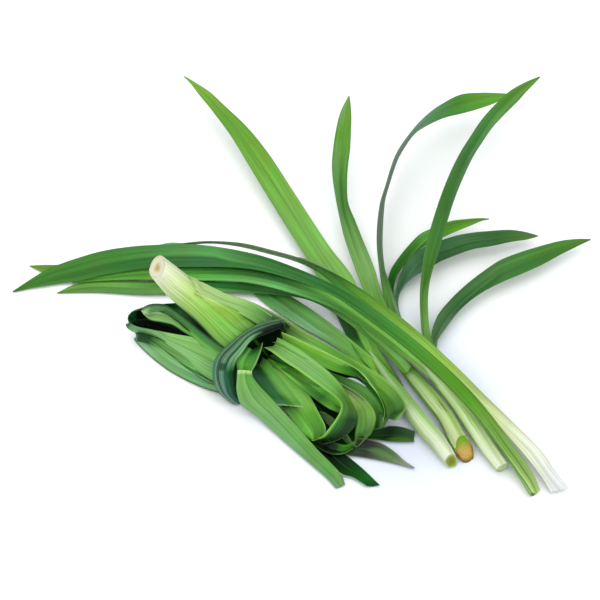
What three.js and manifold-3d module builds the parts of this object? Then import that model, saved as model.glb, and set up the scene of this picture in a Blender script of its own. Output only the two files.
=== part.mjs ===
// Pandan leaf bunch: loose leafy shoots fanned out behind a folded bundle tied with a leaf.
// Millimetres, Z up, table at z = 0, X to the right of the picture, Y away from the viewer.
import * as THREE from "three";
import Module from "manifold-3d";

// Driving dimensions.
const BLADE_THICK = 0.75;
const BROAD_BLADE = 24;
const MIDDLE_BLADE = 22;
const NARROW_BLADE = 19;
const ARCH_WIDTH = 16;
const SLIM_BLADE = 12;
const PRESSED_BLADE = 15;
const TIE_WIDTH = 14;
const BLADE_STEP = 26;
const FOLDED_STEP = 9;
const DEEPEST_FOLD = 1.25;
const TIP_SHARE = 0.35;
const STALK_SIDES = 14;
const SMALL_EDGE = 0.06;
const TIP_ROUNDNESS = 0.7;
const STEEPEST_BLADE = 0.3;
const KEEL_REACH = 3;
const TIE_THICK = 1.4;
const TIE_STATIONS = 40;
const TIE_GAP = 0.8;
// Share of the tie's half width, then share of its thickness, from edge to edge.
const TIE_CROWN = [
  [-1, 0],
  [-0.95, 0.7],
  [-0.35, 1],
  [0.3, 0.85],
  [0.95, 0.7],
  [1, 0],
];
const CORE_SIDES = 24;
const BUNDLE_AXIS = new THREE.Vector3(0.84, -0.54, 0);
// Distance along the bundle from the tie's middle, then size as a share of the tie's ring.
const CORE_SCALES = [
  [-20, 0.5],
  [-12, 0.8],
  [-5, 0.92],
  [3, 0.9],
  [7, 0.64],
  [10, 0.34],
];

// The viewpoint that the routes below are read from: elevation, focal length in pixels,
// distance to the place looked at, middle of the picture, and the place looked at.
const VIEW_ELEVATION = THREE.MathUtils.degToRad(48);
const VIEW_FOCAL = 1416.67;
const VIEW_DISTANCE = 1225;
const VIEW_MIDDLE = 300;
const AIM = { x: -4.4, y: -35.4 };

const SIN = Math.sin(VIEW_ELEVATION);
const COS = Math.cos(VIEW_ELEVATION);
const EYE = new THREE.Vector3(
  AIM.x,
  AIM.y - VIEW_DISTANCE * COS,
  VIEW_DISTANCE * SIN,
);

const wasm = await Module();
wasm.setup();

// The place at height z that the viewer sees at (u, v) of the picture.
function at(u, v, z) {
  const right = u - VIEW_MIDDLE;
  const up = VIEW_MIDDLE - v;
  const ray = new THREE.Vector3(
    right,
    up * SIN + VIEW_FOCAL * COS,
    up * COS - VIEW_FOCAL * SIN,
  );
  return EYE.clone().addScaledVector(ray, (z - EYE.z) / ray.z);
}

// Smooth interpolation through points at the given knots.
function through(points, knots, s) {
  let i = 0;
  while (i < knots.length - 2 && s > knots[i + 1]) i++;
  const slope = (k) => {
    const a = Math.max(0, k - 1);
    const b = Math.min(points.length - 1, k + 1);
    return points[b]
      .clone()
      .sub(points[a])
      .divideScalar(knots[b] - knots[a]);
  };
  const span = knots[i + 1] - knots[i];
  const t = (s - knots[i]) / span;
  const t2 = t * t;
  const t3 = t2 * t;
  return points[i]
    .clone()
    .multiplyScalar(2 * t3 - 3 * t2 + 1)
    .addScaledVector(slope(i), (t3 - 2 * t2 + t) * span)
    .addScaledVector(points[i + 1], 3 * t2 - 2 * t3)
    .addScaledVector(slope(i + 1), (t3 - t2) * span);
}

// The two edges of a blade as smooth lines along its length.
function rails(route) {
  const left = route.map((r) => at(r[0], r[1], r[2]));
  const right = route.map((r) => at(r[3], r[4], r[5]));
  const middle = left.map((p, i) => p.clone().add(right[i]).divideScalar(2));
  const knots = [0];
  for (let i = 1; i < middle.length; i++)
    knots.push(knots[i - 1] + middle[i].distanceTo(middle[i - 1]));
  return {
    length: knots[knots.length - 1],
    left: (s) => through(left, knots, s),
    right: (s) => through(right, knots, s),
  };
}

// Across and upward directions of a blade at one place of its length.
function bladeFrame(edge, s) {
  const near = Math.max(0, s - 1);
  const far = Math.min(edge.length, s + 1);
  const middle = (q) => edge.left(q).add(edge.right(q)).multiplyScalar(0.5);
  const along = middle(far).sub(middle(near)).normalize();
  const left = edge.left(s);
  const right = edge.right(s);
  const across = right.clone().sub(left);
  const up = across.clone().cross(along);
  const wide = up.length();
  return { left, right, across, up: up.normalize(), wide };
}

// Depth of the fold that a blade of true width needs to look as narrow as it does.
function foldDepth(blade, wide, s, length) {
  const left = Math.max(0, length - s);
  const share = length === Infinity ? 1 : left / (TIP_SHARE * length);
  const taper = Math.min(1, Math.pow(share, TIP_ROUNDNESS));
  const real = blade * taper;
  const deep = Math.sqrt(Math.max(0, real * real - wide * wide)) / 2;
  return Math.min(deep, DEEPEST_FOLD * wide);
}

// Six corners of a folded blade's section: three on the upper face, three on the lower.
// The fold is kept above the table. A blade without a tapered end keeps its width to the end.
// A grown section is wider along its slopes and thicker.
function bladeSection(edge, s, blade, { keelUp, taperEnd, grow }) {
  const f = bladeFrame(edge, s);
  const length = taperEnd ? edge.length : Infinity;
  const flat = f.across.clone().normalize();
  const middle = f.left.clone().add(f.right).multiplyScalar(0.5);
  const room = Math.max(0, (middle.z - BLADE_THICK) / Math.max(f.up.z, STEEPEST_BLADE));
  const sunk = foldDepth(blade, f.wide, s, length);
  const deep = keelUp ? -sunk : Math.min(sunk, room);
  const keel = middle.addScaledVector(f.up, -deep);
  const half = f.wide / 2;
  const slant = Math.hypot(half, deep);
  const tilt = deep / slant;
  const rise = half / slant;
  const h = BLADE_THICK / 2 + grow;
  const leftNormal = f.up.clone().multiplyScalar(rise).addScaledVector(flat, tilt);
  const rightNormal = f.up.clone().multiplyScalar(rise).addScaledVector(flat, -tilt);
  f.left.addScaledVector(flat, -grow * rise).addScaledVector(f.up, grow * tilt);
  f.right.addScaledVector(flat, grow * rise).addScaledVector(f.up, grow * tilt);
  const keelReach = Math.min(1 / rise, KEEL_REACH) * h;
  return [
    f.left.clone().addScaledVector(leftNormal, h),
    keel.clone().addScaledVector(f.up, keelReach),
    f.right.clone().addScaledVector(rightNormal, h),
    f.right.clone().addScaledVector(rightNormal, -h),
    keel.clone().addScaledVector(f.up, -keelReach),
    f.left.clone().addScaledVector(leftNormal, -h),
  ];
}

// One closed body through a row of sections that all have the same number of corners.
function skin(sections, splits) {
  const size = sections[0].length;
  const points = sections.flat();
  const faces = [];
  for (let i = 0; i + 1 < sections.length; i++)
    for (let j = 0; j < size; j++) {
      const a = i * size + j;
      const b = i * size + ((j + 1) % size);
      const c = b + size;
      const d = a + size;
      if (splits[j]) faces.push([a, b, c], [a, c, d]);
      else faces.push([a, b, d], [b, c, d]);
    }
  const last = (sections.length - 1) * size;
  for (const [first, reverse] of [
    [0, true],
    [last, false],
  ])
    capFaces(size).forEach(([p, q, r]) =>
      faces.push(reverse ? [first + p, first + r, first + q] : [first + p, first + q, first + r]),
    );
  return solid(points, faces);
}

// Flat end faces: a folded section is closed across its thickness, a round one as a fan.
function capFaces(size) {
  if (size === 6)
    return [
      [0, 1, 4],
      [0, 4, 5],
      [1, 2, 3],
      [1, 3, 4],
    ];
  const fan = [];
  for (let j = 1; j + 1 < size; j++) fan.push([0, j, j + 1]);
  return fan;
}

// A manifold body from points and faces, turned outwards.
function solid(points, faces) {
  const build = (list) =>
    new wasm.Manifold(
      new wasm.Mesh({
        numProp: 3,
        vertProperties: new Float32Array(points.flatMap((p) => [p.x, p.y, p.z])),
        triVerts: new Uint32Array(list.flat()),
      }),
    );
  const body = build(faces);
  if (body.volume() > 0) return body;
  return build(faces.map(([a, b, c]) => [a, c, b]));
}

// A leaf blade that follows a route of left and right edge places.
function blade(route, width, options = {}) {
  const shape = { step: BLADE_STEP, keelUp: false, taperEnd: true, grow: 0, ...options };
  const edge = rails(route);
  const count = Math.max(4, Math.round(edge.length / shape.step));
  const sections = [];
  for (let i = 0; i <= count; i++)
    sections.push(bladeSection(edge, (edge.length * i) / count, width, shape));
  if (shape.grow > 0) {
    sections.unshift(bladeSection(edge, -shape.grow, width, shape));
    sections.push(bladeSection(edge, edge.length + shape.grow, width, shape));
  }
  return skin(sections, [true, true, true, false, false, false]);
}

// A round stalk through places of [u, v, z, radius], flattened by the given factor.
// Its first end is cut square, or along a plane with the given normal.
function stalk(route, flat = 1, cut = null) {
  const centres = route.map((r) => at(r[0], r[1], r[2]));
  const sections = centres.map((centre, i) => {
    const before = centres[Math.max(0, i - 1)];
    const after = centres[Math.min(centres.length - 1, i + 1)];
    const along = after.clone().sub(before).normalize();
    const side = new THREE.Vector3(0, 0, 1).cross(along).normalize();
    const up = along.clone().cross(side);
    const ring = [];
    const slope = cut && i === 0 ? cut : along;
    for (let j = 0; j < STALK_SIDES; j++) {
      const turn = (2 * Math.PI * j) / STALK_SIDES;
      const out = side
        .clone()
        .multiplyScalar(Math.cos(turn) * route[i][3])
        .addScaledVector(up, Math.sin(turn) * route[i][3] * flat);
      const slide = -out.dot(slope) / along.dot(slope);
      ring.push(centre.clone().add(out).addScaledVector(along, slide));
    }
    return ring;
  });
  return skin(sections, new Array(STALK_SIDES).fill(true));
}

// The tie as a closed ring: a band that follows its two edges, with a crowned outer face.
// It is grown by the spread on every side.
function ring(route, spread) {
  const corners = tieLoop(route, TIE_STATIONS);
  const centre = middleOf(corners);
  const count = corners.length;
  const sections = corners.map(({ left, right, middle }, i) => {
    const outward = middle.clone().sub(centre).normalize();
    const half = right.clone().sub(left).multiplyScalar(0.5);
    const before = corners[(i + count - 1) % count].middle;
    const after = corners[(i + 1) % count].middle;
    const square = after.clone().sub(before).cross(half).normalize();
    square.multiplyScalar(Math.sign(square.dot(outward)));
    half.setLength(half.length() + spread);
    return TIE_CROWN.map(([across, share]) =>
      middle
        .clone()
        .addScaledVector(half, across)
        .addScaledVector(outward, share * TIE_THICK)
        .addScaledVector(square, share > 0 ? spread : -spread),
    );
  });
  return closedLoop(sections);
}

// The mean of the middle places of a loop.
function middleOf(loop) {
  const centre = new THREE.Vector3();
  loop.forEach((c) => centre.add(c.middle));
  return centre.divideScalar(loop.length);
}

// Left, right and middle places at even steps round a closed route.
function tieLoop(route, count) {
  const wrapped = [...route.slice(-2), ...route, ...route.slice(0, 3)];
  const edge = rails(wrapped);
  const start = knotOf(wrapped, 2);
  const end = knotOf(wrapped, 2 + route.length);
  const places = [];
  for (let i = 0; i < count; i++) {
    const s = start + ((end - start) * i) / count;
    const left = edge.left(s);
    const right = edge.right(s);
    places.push({ left, right, middle: left.clone().add(right).multiplyScalar(0.5) });
  }
  return places;
}

// Length along the middle of a route up to one of its places.
function knotOf(route, index) {
  const middle = route.map((r) =>
    at(r[0], r[1], r[2]).add(at(r[3], r[4], r[5])).multiplyScalar(0.5),
  );
  let length = 0;
  for (let i = 1; i <= index; i++) length += middle[i].distanceTo(middle[i - 1]);
  return length;
}

// One closed body from sections that follow each other round a ring.
function closedLoop(sections) {
  const size = sections[0].length;
  const faces = [];
  sections.forEach((_, i) => {
    const next = (i + 1) % sections.length;
    for (let j = 0; j < size; j++) {
      const a = i * size + j;
      const b = i * size + ((j + 1) % size);
      const c = next * size + ((j + 1) % size);
      const d = next * size + j;
      faces.push([a, b, c], [a, c, d]);
    }
  });
  return solid(sections.flat(), faces);
}

// The packed leaves inside the tie, a spindle that fills the ring and narrows to both sides.
function core() {
  const loop = tieLoop(TIE_ROUND, CORE_SIDES);
  const centre = middleOf(loop);
  const sections = CORE_SCALES.map(([shift, scale]) =>
    loop.map((c) =>
      centre
        .clone()
        .addScaledVector(c.middle.clone().sub(centre), scale)
        .addScaledVector(BUNDLE_AXIS, shift),
    ),
  );
  return skin(sections, new Array(CORE_SIDES).fill(true));
}

// The union of several bodies, cut off flat where it would pass through the table.
function fuse(bodies) {
  const whole = wasm.Manifold.union(bodies).trimByPlane([0, 0, 1], 0);
  const pieces = whole.asOriginal().simplify(SMALL_EDGE).decompose();
  pieces.sort((a, b) => b.volume() - a.volume());
  return pieces[0];
}

const SHOOT_A_CUT = new THREE.Vector3(0.36, -0.78, 0.5);
const SHOOT_B_CUT = new THREE.Vector3(0.27, -0.59, 0.76);

// Shoot A: the stalk at the lower middle with a broad blade to the left and one up and left.
const SHOOT_A_STALK = [
  [451.5, 461.5, 4.8, 5.2],
  [445, 452, 5.8, 6.2],
  [437, 441, 6.8, 6.8],
  [427, 430, 7.6, 7.3],
  [416, 416, 7.8, 7.2],
  [402, 397, 7.2, 6.6],
  [389, 379, 6, 4.8],
  [378, 363, 4.6, 3],
  [370, 351, 3.4, 1.6],
];
const SHOOT_A_UPPER_BLADE = [
  [398, 398, 6, 406, 392, 6.5],
  [388, 386, 5, 400, 380, 6],
  [364, 352, 5, 378, 347, 7],
  [344, 322, 5, 360, 315, 6],
  [325, 290, 5, 345, 280, 6],
  [308, 260, 8, 330, 247, 8],
  [290, 232, 12, 311, 219, 12],
  [270, 200, 16, 291, 188, 16],
  [250, 167, 20, 270, 156, 20],
  [230, 135, 23, 247, 127, 23],
  [210, 108, 24, 222, 103, 24],
  [200, 96, 24, 210, 92, 24],
  [190, 83, 23, 194, 81.5, 23],
  [183.5, 76.6, 22, 184.6, 76, 22],
];
const SHOOT_A_LOWER_BLADE = [
  [404, 406, 6, 411, 400, 7],
  [390, 390, 6, 401, 384, 7],
  [370, 372, 6, 382, 364, 7],
  [350, 358, 6, 362, 348, 7],
  [328, 342, 6, 341, 331, 6.5],
  [300, 325, 5.5, 318, 314, 6],
  [280, 311, 4, 297, 300, 4.5],
  [262, 297, 2.6, 276, 288, 3],
  [245, 285, 1.6, 256, 278, 1.8],
  [222, 271, 1, 224, 269.5, 1],
];

// Shoot B: the thicker stalk beside it, whose four blades fan upwards behind the arch.
const SHOOT_B_STALK = [
  [464.5, 449.5, 7, 7.2],
  [457, 437, 7.4, 7.2],
  [446, 417, 7.8, 7],
  [432, 399, 8, 7],
  [412, 375, 7.4, 6.2],
  [397, 356, 6.4, 4.6],
  [386, 339, 5, 2.8],
  [380, 328, 4, 1.5],
];
const SHOOT_B_STRAIGHT_BLADE = [
  [398, 362, 9, 410, 356, 9],
  [384, 335, 9, 398, 330, 9],
  [370, 306, 9, 386, 303, 9],
  [363, 288, 10, 380, 288, 10],
  [355, 268, 12, 374, 268, 12],
  [345, 240, 16, 362.5, 239, 16],
  [340, 220, 19, 355, 220, 19],
  [336, 200, 22, 348, 202, 22],
  [333, 180, 26, 347, 182, 26],
  [332, 165, 28, 348, 165, 28],
  [333, 150, 30, 350, 150, 30],
  [335, 135, 32, 351, 133, 32],
  [338, 120, 33, 351.5, 119, 33],
  [342, 108, 34, 351, 107, 34],
  [348.4, 96, 34, 349.6, 96, 34],
];
const SHOOT_B_HOOKED_BLADE = [
  [402, 356, 9, 412, 352, 10],
  [391, 326, 8, 401, 325, 12],
  [384.5, 302, 7, 392, 301, 19],
  [380, 272, 7, 385, 270, 24.5],
  [377.5, 240, 9, 382, 240, 27],
  [379.5, 205, 13, 384, 204, 31],
  [385, 185, 16, 389, 186, 34],
  [393, 160, 21, 398, 160, 39],
  [399, 148, 24, 405, 147.5, 41.5],
  [408, 135, 29, 415, 134, 44],
  [417, 124, 32, 426, 125, 44],
  [428, 112, 35, 436, 120, 42],
  [440, 105, 37, 446, 116, 41],
  [460, 95, 38, 464, 112, 38],
  [480, 93, 36, 481, 108, 35],
  [495, 93, 34, 495, 103, 32],
  [508, 93.5, 31, 506, 97.5, 30],
  [518, 92, 28, 518, 93.5, 28],
];
const SHOOT_B_SHORT_BLADE = [
  [402, 352, 8, 412, 350, 8],
  [390, 318, 8, 400, 318, 8],
  [387, 292, 9, 394, 295, 9],
  [390, 272, 10, 396, 278, 10],
  [400, 256, 12, 406, 262, 12],
  [410, 244, 13, 415, 252.5, 13],
  [420, 234, 14, 425, 246, 14],
  [430, 229, 15, 435, 241, 15],
  [450, 221, 17, 455, 232, 17],
  [465, 219, 18, 470, 226, 18],
  [480, 218, 18, 482, 221, 18],
  [489, 218.6, 17, 489, 219.6, 17],
];
const SHOOT_B_OUTER_BLADE = [
  [408, 356, 7, 416, 360, 7],
  [398, 325, 8, 405, 328, 8],
  [394, 300, 9, 398, 304, 9],
  [399, 278, 10, 403, 287, 10],
  [406, 262, 12, 414, 277, 12],
  [418, 250.5, 14, 428, 269, 14],
  [432, 244, 15, 441, 261.5, 15],
  [453, 236.5, 16, 459, 254, 16],
  [470, 233, 16, 474, 249, 16],
  [490, 231, 15, 492, 246, 15],
  [510, 230, 13, 512, 241.7, 13],
  [525, 232, 11, 526, 239.7, 11],
  [538, 235.5, 9, 538, 236.6, 9],
];

// Shoot C: the pale stalk in the middle; one blade joins the arch and two rise behind it.
const SHOOT_C_STALK = [
  [502.5, 467.5, 6, 5.6],
  [490, 450.5, 7, 6.5],
  [475, 428, 8, 7],
  [459, 405, 9.4, 6.6],
  [443, 385.5, 11.4, 5.8],
  [429, 369, 13.4, 4.2],
  [418, 355, 15, 2],
];
const SHOOT_C_TALL_BLADE = [
  [448, 386, 10, 456, 381, 10],
  [434, 362, 11, 443, 359, 11],
  [423, 338, 11.5, 431, 337, 11.5],
  [420, 310, 15, 428, 310, 15],
  [420, 290, 21, 428.5, 290, 21],
  [422, 270, 26, 432, 272, 26],
  [425, 250, 30, 438, 253, 30],
  [430, 230, 34, 443.5, 234, 34],
  [440, 198, 39, 453.5, 202, 39],
  [450, 173, 42, 463.5, 177, 42],
  [460, 153, 45, 473.5, 156, 45],
  [470, 137, 47, 483, 141, 47],
  [480, 122, 48, 492, 128, 48],
  [490, 110, 49, 502, 117, 49],
  [500, 100, 50, 511, 108, 50],
  [510, 91, 50, 519, 100, 50],
  [520, 85, 49, 527, 91, 49],
  [530, 80, 48, 533, 85, 48],
  [539.6, 76.4, 47, 540.4, 77.4, 47],
];
const SHOOT_C_LOW_BLADE = [
  [448, 387, 8, 455, 383, 8],
  [435, 362, 8, 441, 361, 8],
  [431, 339, 9, 437, 343, 9],
  [437, 317, 10, 445, 329, 10],
  [450, 300, 11, 459, 311, 11],
  [465, 285.5, 12, 474, 298, 12],
  [482, 272, 13, 490, 288, 13],
  [500, 260, 14, 506, 280.5, 14],
  [520, 252, 14, 524, 273, 14],
  [540, 246, 13, 543, 264.5, 13],
  [560, 241, 12, 562, 254, 12],
  [578, 239, 11, 579, 245.5, 11],
  [590.6, 239, 10, 590.8, 240, 10],
];
const SHOOT_C_ARCH_BLADE = [
  [448, 396, 11, 457, 388, 12],
  [430, 379, 16, 439, 370, 18],
  [402, 356, 21, 412, 346, 22],
  [370, 332, 22, 380, 321, 24],
  [340, 312, 21, 348, 301, 22.5],
  [300, 296, 18, 305, 285, 19.5],
  [250, 283.5, 13, 253, 272, 15],
  [200, 280.5, 8, 200, 268.5, 9],
  [140, 279.5, 6, 140, 269, 6],
  [100, 281, 3.8, 100, 275, 3.8],
  [72, 283.6, 2.4, 72, 282.4, 2.4],
];

// The long blade on top of the arch, the one behind it, and the torn one under them.
const TOP_BLADE = [
  [530, 495, 6, 540, 490, 6],
  [519, 477, 9, 531, 470.5, 9],
  [500, 447.5, 16.2, 510, 441, 16.2],
  [480, 420, 23.6, 489, 412.5, 23.6],
  [450, 387, 30, 458, 378, 30],
  [410, 350, 36, 417, 341, 36],
  [370, 318, 37, 376, 310.5, 37],
  [330, 293, 34.5, 334, 285, 36.5],
  [290, 278, 28, 293, 267, 31],
  [250, 269, 22, 252, 254.5, 26],
  [200, 267, 15, 200, 247, 19],
  [150, 268, 10, 150, 246, 15],
  [120, 272, 8, 119, 248, 12],
  [100, 275.5, 7, 98, 252, 10],
  [80, 280.5, 5.4, 78, 258, 8],
  [60, 283.3, 3, 58, 265, 6],
  [45, 285.6, 3, 43, 271.8, 4],
  [30, 288.4, 2, 28, 281, 3],
  [13, 292.4, 1.4, 12.4, 291.4, 1.4],
];
const BACK_BLADE = [
  [550, 492, 5, 569, 488, 5],
  [541, 477, 7, 557, 473, 7],
  [524, 455, 9, 538, 447, 9],
  [500, 427, 12, 512, 421, 12],
  [474, 398, 17, 484, 394, 18],
  [444, 368, 22, 455, 365, 23],
  [404, 334, 24, 415, 329, 26],
  [366, 307, 24, 377, 300, 27],
  [336, 287, 21, 346, 280.5, 27],
  [316, 272.5, 18, 320, 267.5, 29],
  [296, 262.5, 15, 298, 258.5, 28.5],
  [270, 255.5, 11.5, 271, 252.2, 26],
  [236, 247.2, 7.5, 236.5, 244.2, 22],
  [200, 244.4, 4, 200, 241.5, 18],
  [150, 253, 3.4, 150, 247, 8],
  [100, 264, 2, 100, 257, 4],
  [60, 271, 1.4, 60, 265, 3],
  [31, 267, 1.4, 30, 266, 1.4],
];
const TORN_BLADE = [
  [403, 373, 19, 411, 366, 20],
  [384, 353, 17, 394, 348, 18],
  [364, 335.5, 14.5, 374, 330.5, 15.5],
  [345, 323.5, 13, 355, 315.5, 14],
  [320, 308.5, 11, 327, 301.5, 12],
  [296, 299, 10, 301, 291, 11],
  [250, 292.5, 7, 252, 284, 8],
  [200, 292, 4.5, 200, 281, 5.5],
  [140, 292, 3, 140, 280.5, 3],
  [100, 292.5, 2, 100, 280.5, 2],
  [75, 292.8, 1.4, 75, 284.5, 1.4],
  [57, 293.5, 1, 57, 292.6, 1],
];

// The folded bundle: its stalk, which rises to the upper left.
const BUNDLE_STALK = [
  [158, 267, 84, 10],
  [168, 276.5, 80, 11.6],
  [180, 288.5, 74, 12],
  [195, 303, 66, 12.4],
  [210, 317, 57, 12.8],
  [226, 331, 47, 13],
  [242, 345, 39, 12],
];
const BUNDLE_STALK_CUT = new THREE.Vector3(-0.62, -0.05, 0.78);
const BUNDLE_OUTER_SHEATH = [
  [186, 280.5, 83, 188.5, 275.5, 80],
  [197, 292, 77.5, 199.5, 281.5, 74],
  [211, 302, 72, 214, 288.5, 68],
  [226, 308.5, 66, 229, 296.5, 62],
  [241, 315, 60, 243, 303.5, 57],
  [257, 324.5, 53.5, 256, 313, 52],
  [270, 334, 48, 270, 322, 48],
];
const BUNDLE_INNER_SHEATH = [
  [194, 292, 77, 197, 291, 78],
  [204, 300.5, 72, 211, 299.5, 71],
  [216, 311, 65, 228, 306, 64.5],
  [229, 322, 58.5, 243, 312.5, 58.5],
  [238, 331, 52.5, 257, 321.5, 52],
  [246, 340, 46, 266, 330.5, 47],
];

// Blades of the bundle to the right of the tie, each with its turn at the far end.
const BUNDLE_BACK_BLADE = [
  [226, 297, 46, 236, 313, 46],
  [252, 307, 46, 258, 324, 45],
  [280, 321, 44, 283, 337, 41],
  [302, 332, 41, 307, 348, 38],
  [327, 344, 38, 333, 360, 35],
  [353, 360, 35, 357, 375, 32],
  [378, 374, 31, 375, 389, 29],
  [397, 389, 28, 384, 402, 27],
  [406.5, 404, 22, 387, 415, 21],
  [405, 412, 15, 386, 424, 15],
  [396, 417, 8, 380, 429, 8],
  [378, 402, 4, 374, 421, 4],
  [353, 387, 4, 350, 405, 4],
  [320, 367, 5, 318, 385, 5],
  [285, 346, 10, 283, 364, 10],
  [258, 336, 18, 254, 350, 18],
];
const BUNDLE_UPPER_BLADE = [
  [254, 325, 46, 256, 338, 43],
  [284, 333, 50, 281, 345, 46],
  [310, 345, 48.5, 300, 356, 43],
  [330, 354.5, 45, 317, 364, 39],
  [348, 363.5, 41, 333, 371, 35],
  [358, 370, 37.5, 349, 375.5, 31],
  [365, 377, 34, 359, 378.5, 28],
  [371, 385, 31, 366, 387, 26],
  [378, 394, 27.5, 375, 397, 24],
  [382.5, 403, 23, 380, 405.5, 20],
  [385, 412, 17.5, 382, 413, 15.5],
  [383, 422, 12, 380, 421, 11],
];
const BUNDLE_MIDDLE_BLADE = [
  [256, 330, 34, 252, 346, 32],
  [285, 344, 37, 280, 362, 34],
  [310, 358, 35, 305, 373, 31],
  [333, 373, 32, 329, 382, 28],
  [352, 380, 29, 349, 390, 26],
  [366, 387, 26, 361, 398, 23],
  [376, 396, 23, 370, 405, 20],
  [383, 407, 18, 374.5, 413, 15],
  [384, 418, 12, 375, 424, 9],
  [377, 430, 5, 370, 436, 3.4],
  [362, 420, 2.4, 358, 432, 2.4],
  [340, 400, 2.4, 336, 414, 2.4],
  [310, 378, 4, 307, 394, 4],
  [282, 361, 8, 278, 377, 8],
  [258, 350, 14, 252, 364, 14],
];
const BUNDLE_SHADE_BLADE = [
  [283, 346, 38, 281, 358, 31],
  [304, 355, 37, 300, 369, 28],
  [325, 365, 34, 320, 378, 25],
  [340, 371, 30, 336, 381, 24],
  [351, 373, 28, 349, 377.6, 26],
  [359, 375.5, 26.5, 357, 379.2, 25],
  [367, 380.5, 24.5, 364, 384.4, 23],
];
const BUNDLE_BROAD_BLADE = [
  [262, 342, 30, 254, 352, 28],
  [298, 361, 33, 288, 373, 30],
  [324, 375, 31, 314, 386, 27],
  [340, 383, 28, 333, 389, 24],
  [354, 391, 26, 344, 397, 22],
  [366, 400, 23, 352.5, 406, 19],
  [373.5, 409, 19, 357, 415, 14.5],
  [376, 418, 14, 357, 423, 10.5],
  [372.5, 431, 9, 355, 432, 7],
  [365, 440, 4, 354.5, 441, 3.6],
  [356, 447, 2, 352, 448, 2],
  [342, 424, 2, 337, 436, 2],
  [308, 397, 2.4, 305, 413, 2],
  [280, 379, 6, 275, 394, 5],
  [256, 364, 12, 248, 378, 11],
];
const BUNDLE_FRONT_BLADE = [
  [248, 334, 34, 241, 344, 31],
  [266, 335, 43, 256, 345, 39],
  [281, 339, 46, 269, 350, 43],
  [299, 349, 45, 284, 361, 41],
  [313, 359, 42, 298, 370, 38],
  [327, 370, 38, 312, 380, 34],
  [338, 381, 34, 325, 389.5, 30.5],
  [346, 392, 30, 336, 397.5, 27.5],
  [352, 402, 25.5, 341, 404.5, 24],
  [356.5, 412, 20.5, 339.5, 412.5, 18.5],
  [356.5, 422, 14.5, 334.5, 421, 12.5],
  [350, 432, 11, 328, 429.5, 11],
  [338, 440, 8.5, 321, 437, 9],
  [324, 444, 6, 311.5, 440.5, 6.5],
];
const BUNDLE_INNER_BLADE = [
  [322, 438, 6, 311, 440, 3],
  [326, 429, 9.5, 303, 433, 6],
  [319, 413, 13, 291, 418, 9],
  [311, 398, 15, 279, 403, 11],
  [301, 384, 20, 268, 388, 16],
  [288, 371, 26, 258, 374, 22],
  [270, 359, 31, 248, 363, 28],
  [252, 350, 32, 238, 354, 28],
];
const BUNDLE_LINING_BLADE = [
  [258, 346, 32, 248, 352, 30],
  [284, 358, 36, 272, 364, 32],
  [301, 370, 33, 288, 377, 28],
  [317, 380, 29, 303, 390, 24],
  [330, 390, 25, 317, 400.5, 20],
  [339, 400, 21.5, 329, 408.5, 17],
  [342, 408, 18, 339, 412.5, 14.5],
];
const BUNDLE_DEEP_BLADE = [
  [262, 356, 16, 252, 372, 14],
  [290, 368, 13, 278, 392, 11],
  [316, 384, 10, 300, 410, 8],
  [340, 404, 6, 318, 430, 4],
  [352, 420, 4, 334, 442, 3],
  [357, 434, 4, 348, 447, 3],
];
const BUNDLE_BASE_BLADE = [
  [300, 412, 5, 296, 424, 2],
  [316, 429, 4.5, 308, 440, 2],
  [328, 439.5, 5, 321, 449, 4.4],
  [338, 444, 6, 333, 454, 5],
  [347, 445, 6, 344, 453.5, 5],
  [355, 441, 6, 353, 448.5, 5],
];
const BUNDLE_CUT_END = [
  [250, 350, 34, 240, 356, 34],
  [266, 360, 37, 248, 364, 36],
  [276, 371, 33, 252, 374, 33],
  [287, 385, 27, 258, 387, 27],
  [296, 397, 22.5, 266, 397, 22],
  [303, 407, 18.5, 275, 405, 18],
];

// Ends that show on the table from under the bundle.
const BUNDLE_BLUNT_END = [
  [310, 425, 2, 298, 436, 2],
  [330, 441, 2, 317, 452, 2],
  [348, 456, 2, 334, 467, 2],
  [364, 469, 2, 349, 477.5, 2],
  [380, 484, 2, 366, 486, 2],
];
const BUNDLE_POINTED_END = [
  [325, 428, 2, 316, 440, 2],
  [342, 434, 2, 334, 449, 2],
  [356, 438, 2, 348, 455, 2],
  [368, 441, 3, 362, 457, 2],
  [381, 447, 3, 377, 459.5, 2],
  [394, 454, 3, 391, 462.5, 2],
  [405, 461, 2, 403, 465.5, 2],
  [415, 467.6, 2, 414, 468.6, 2],
];
const BUNDLE_SIDE_END = [
  [345, 420, 3, 340, 433, 3],
  [362, 425, 3, 360, 438, 3],
  [377, 429, 4, 375, 439, 3],
  [390, 426, 5, 389, 441, 3],
  [401, 427, 5, 400, 442, 3],
  [411, 431.5, 3.4, 411.5, 442, 2.6],
];

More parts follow.
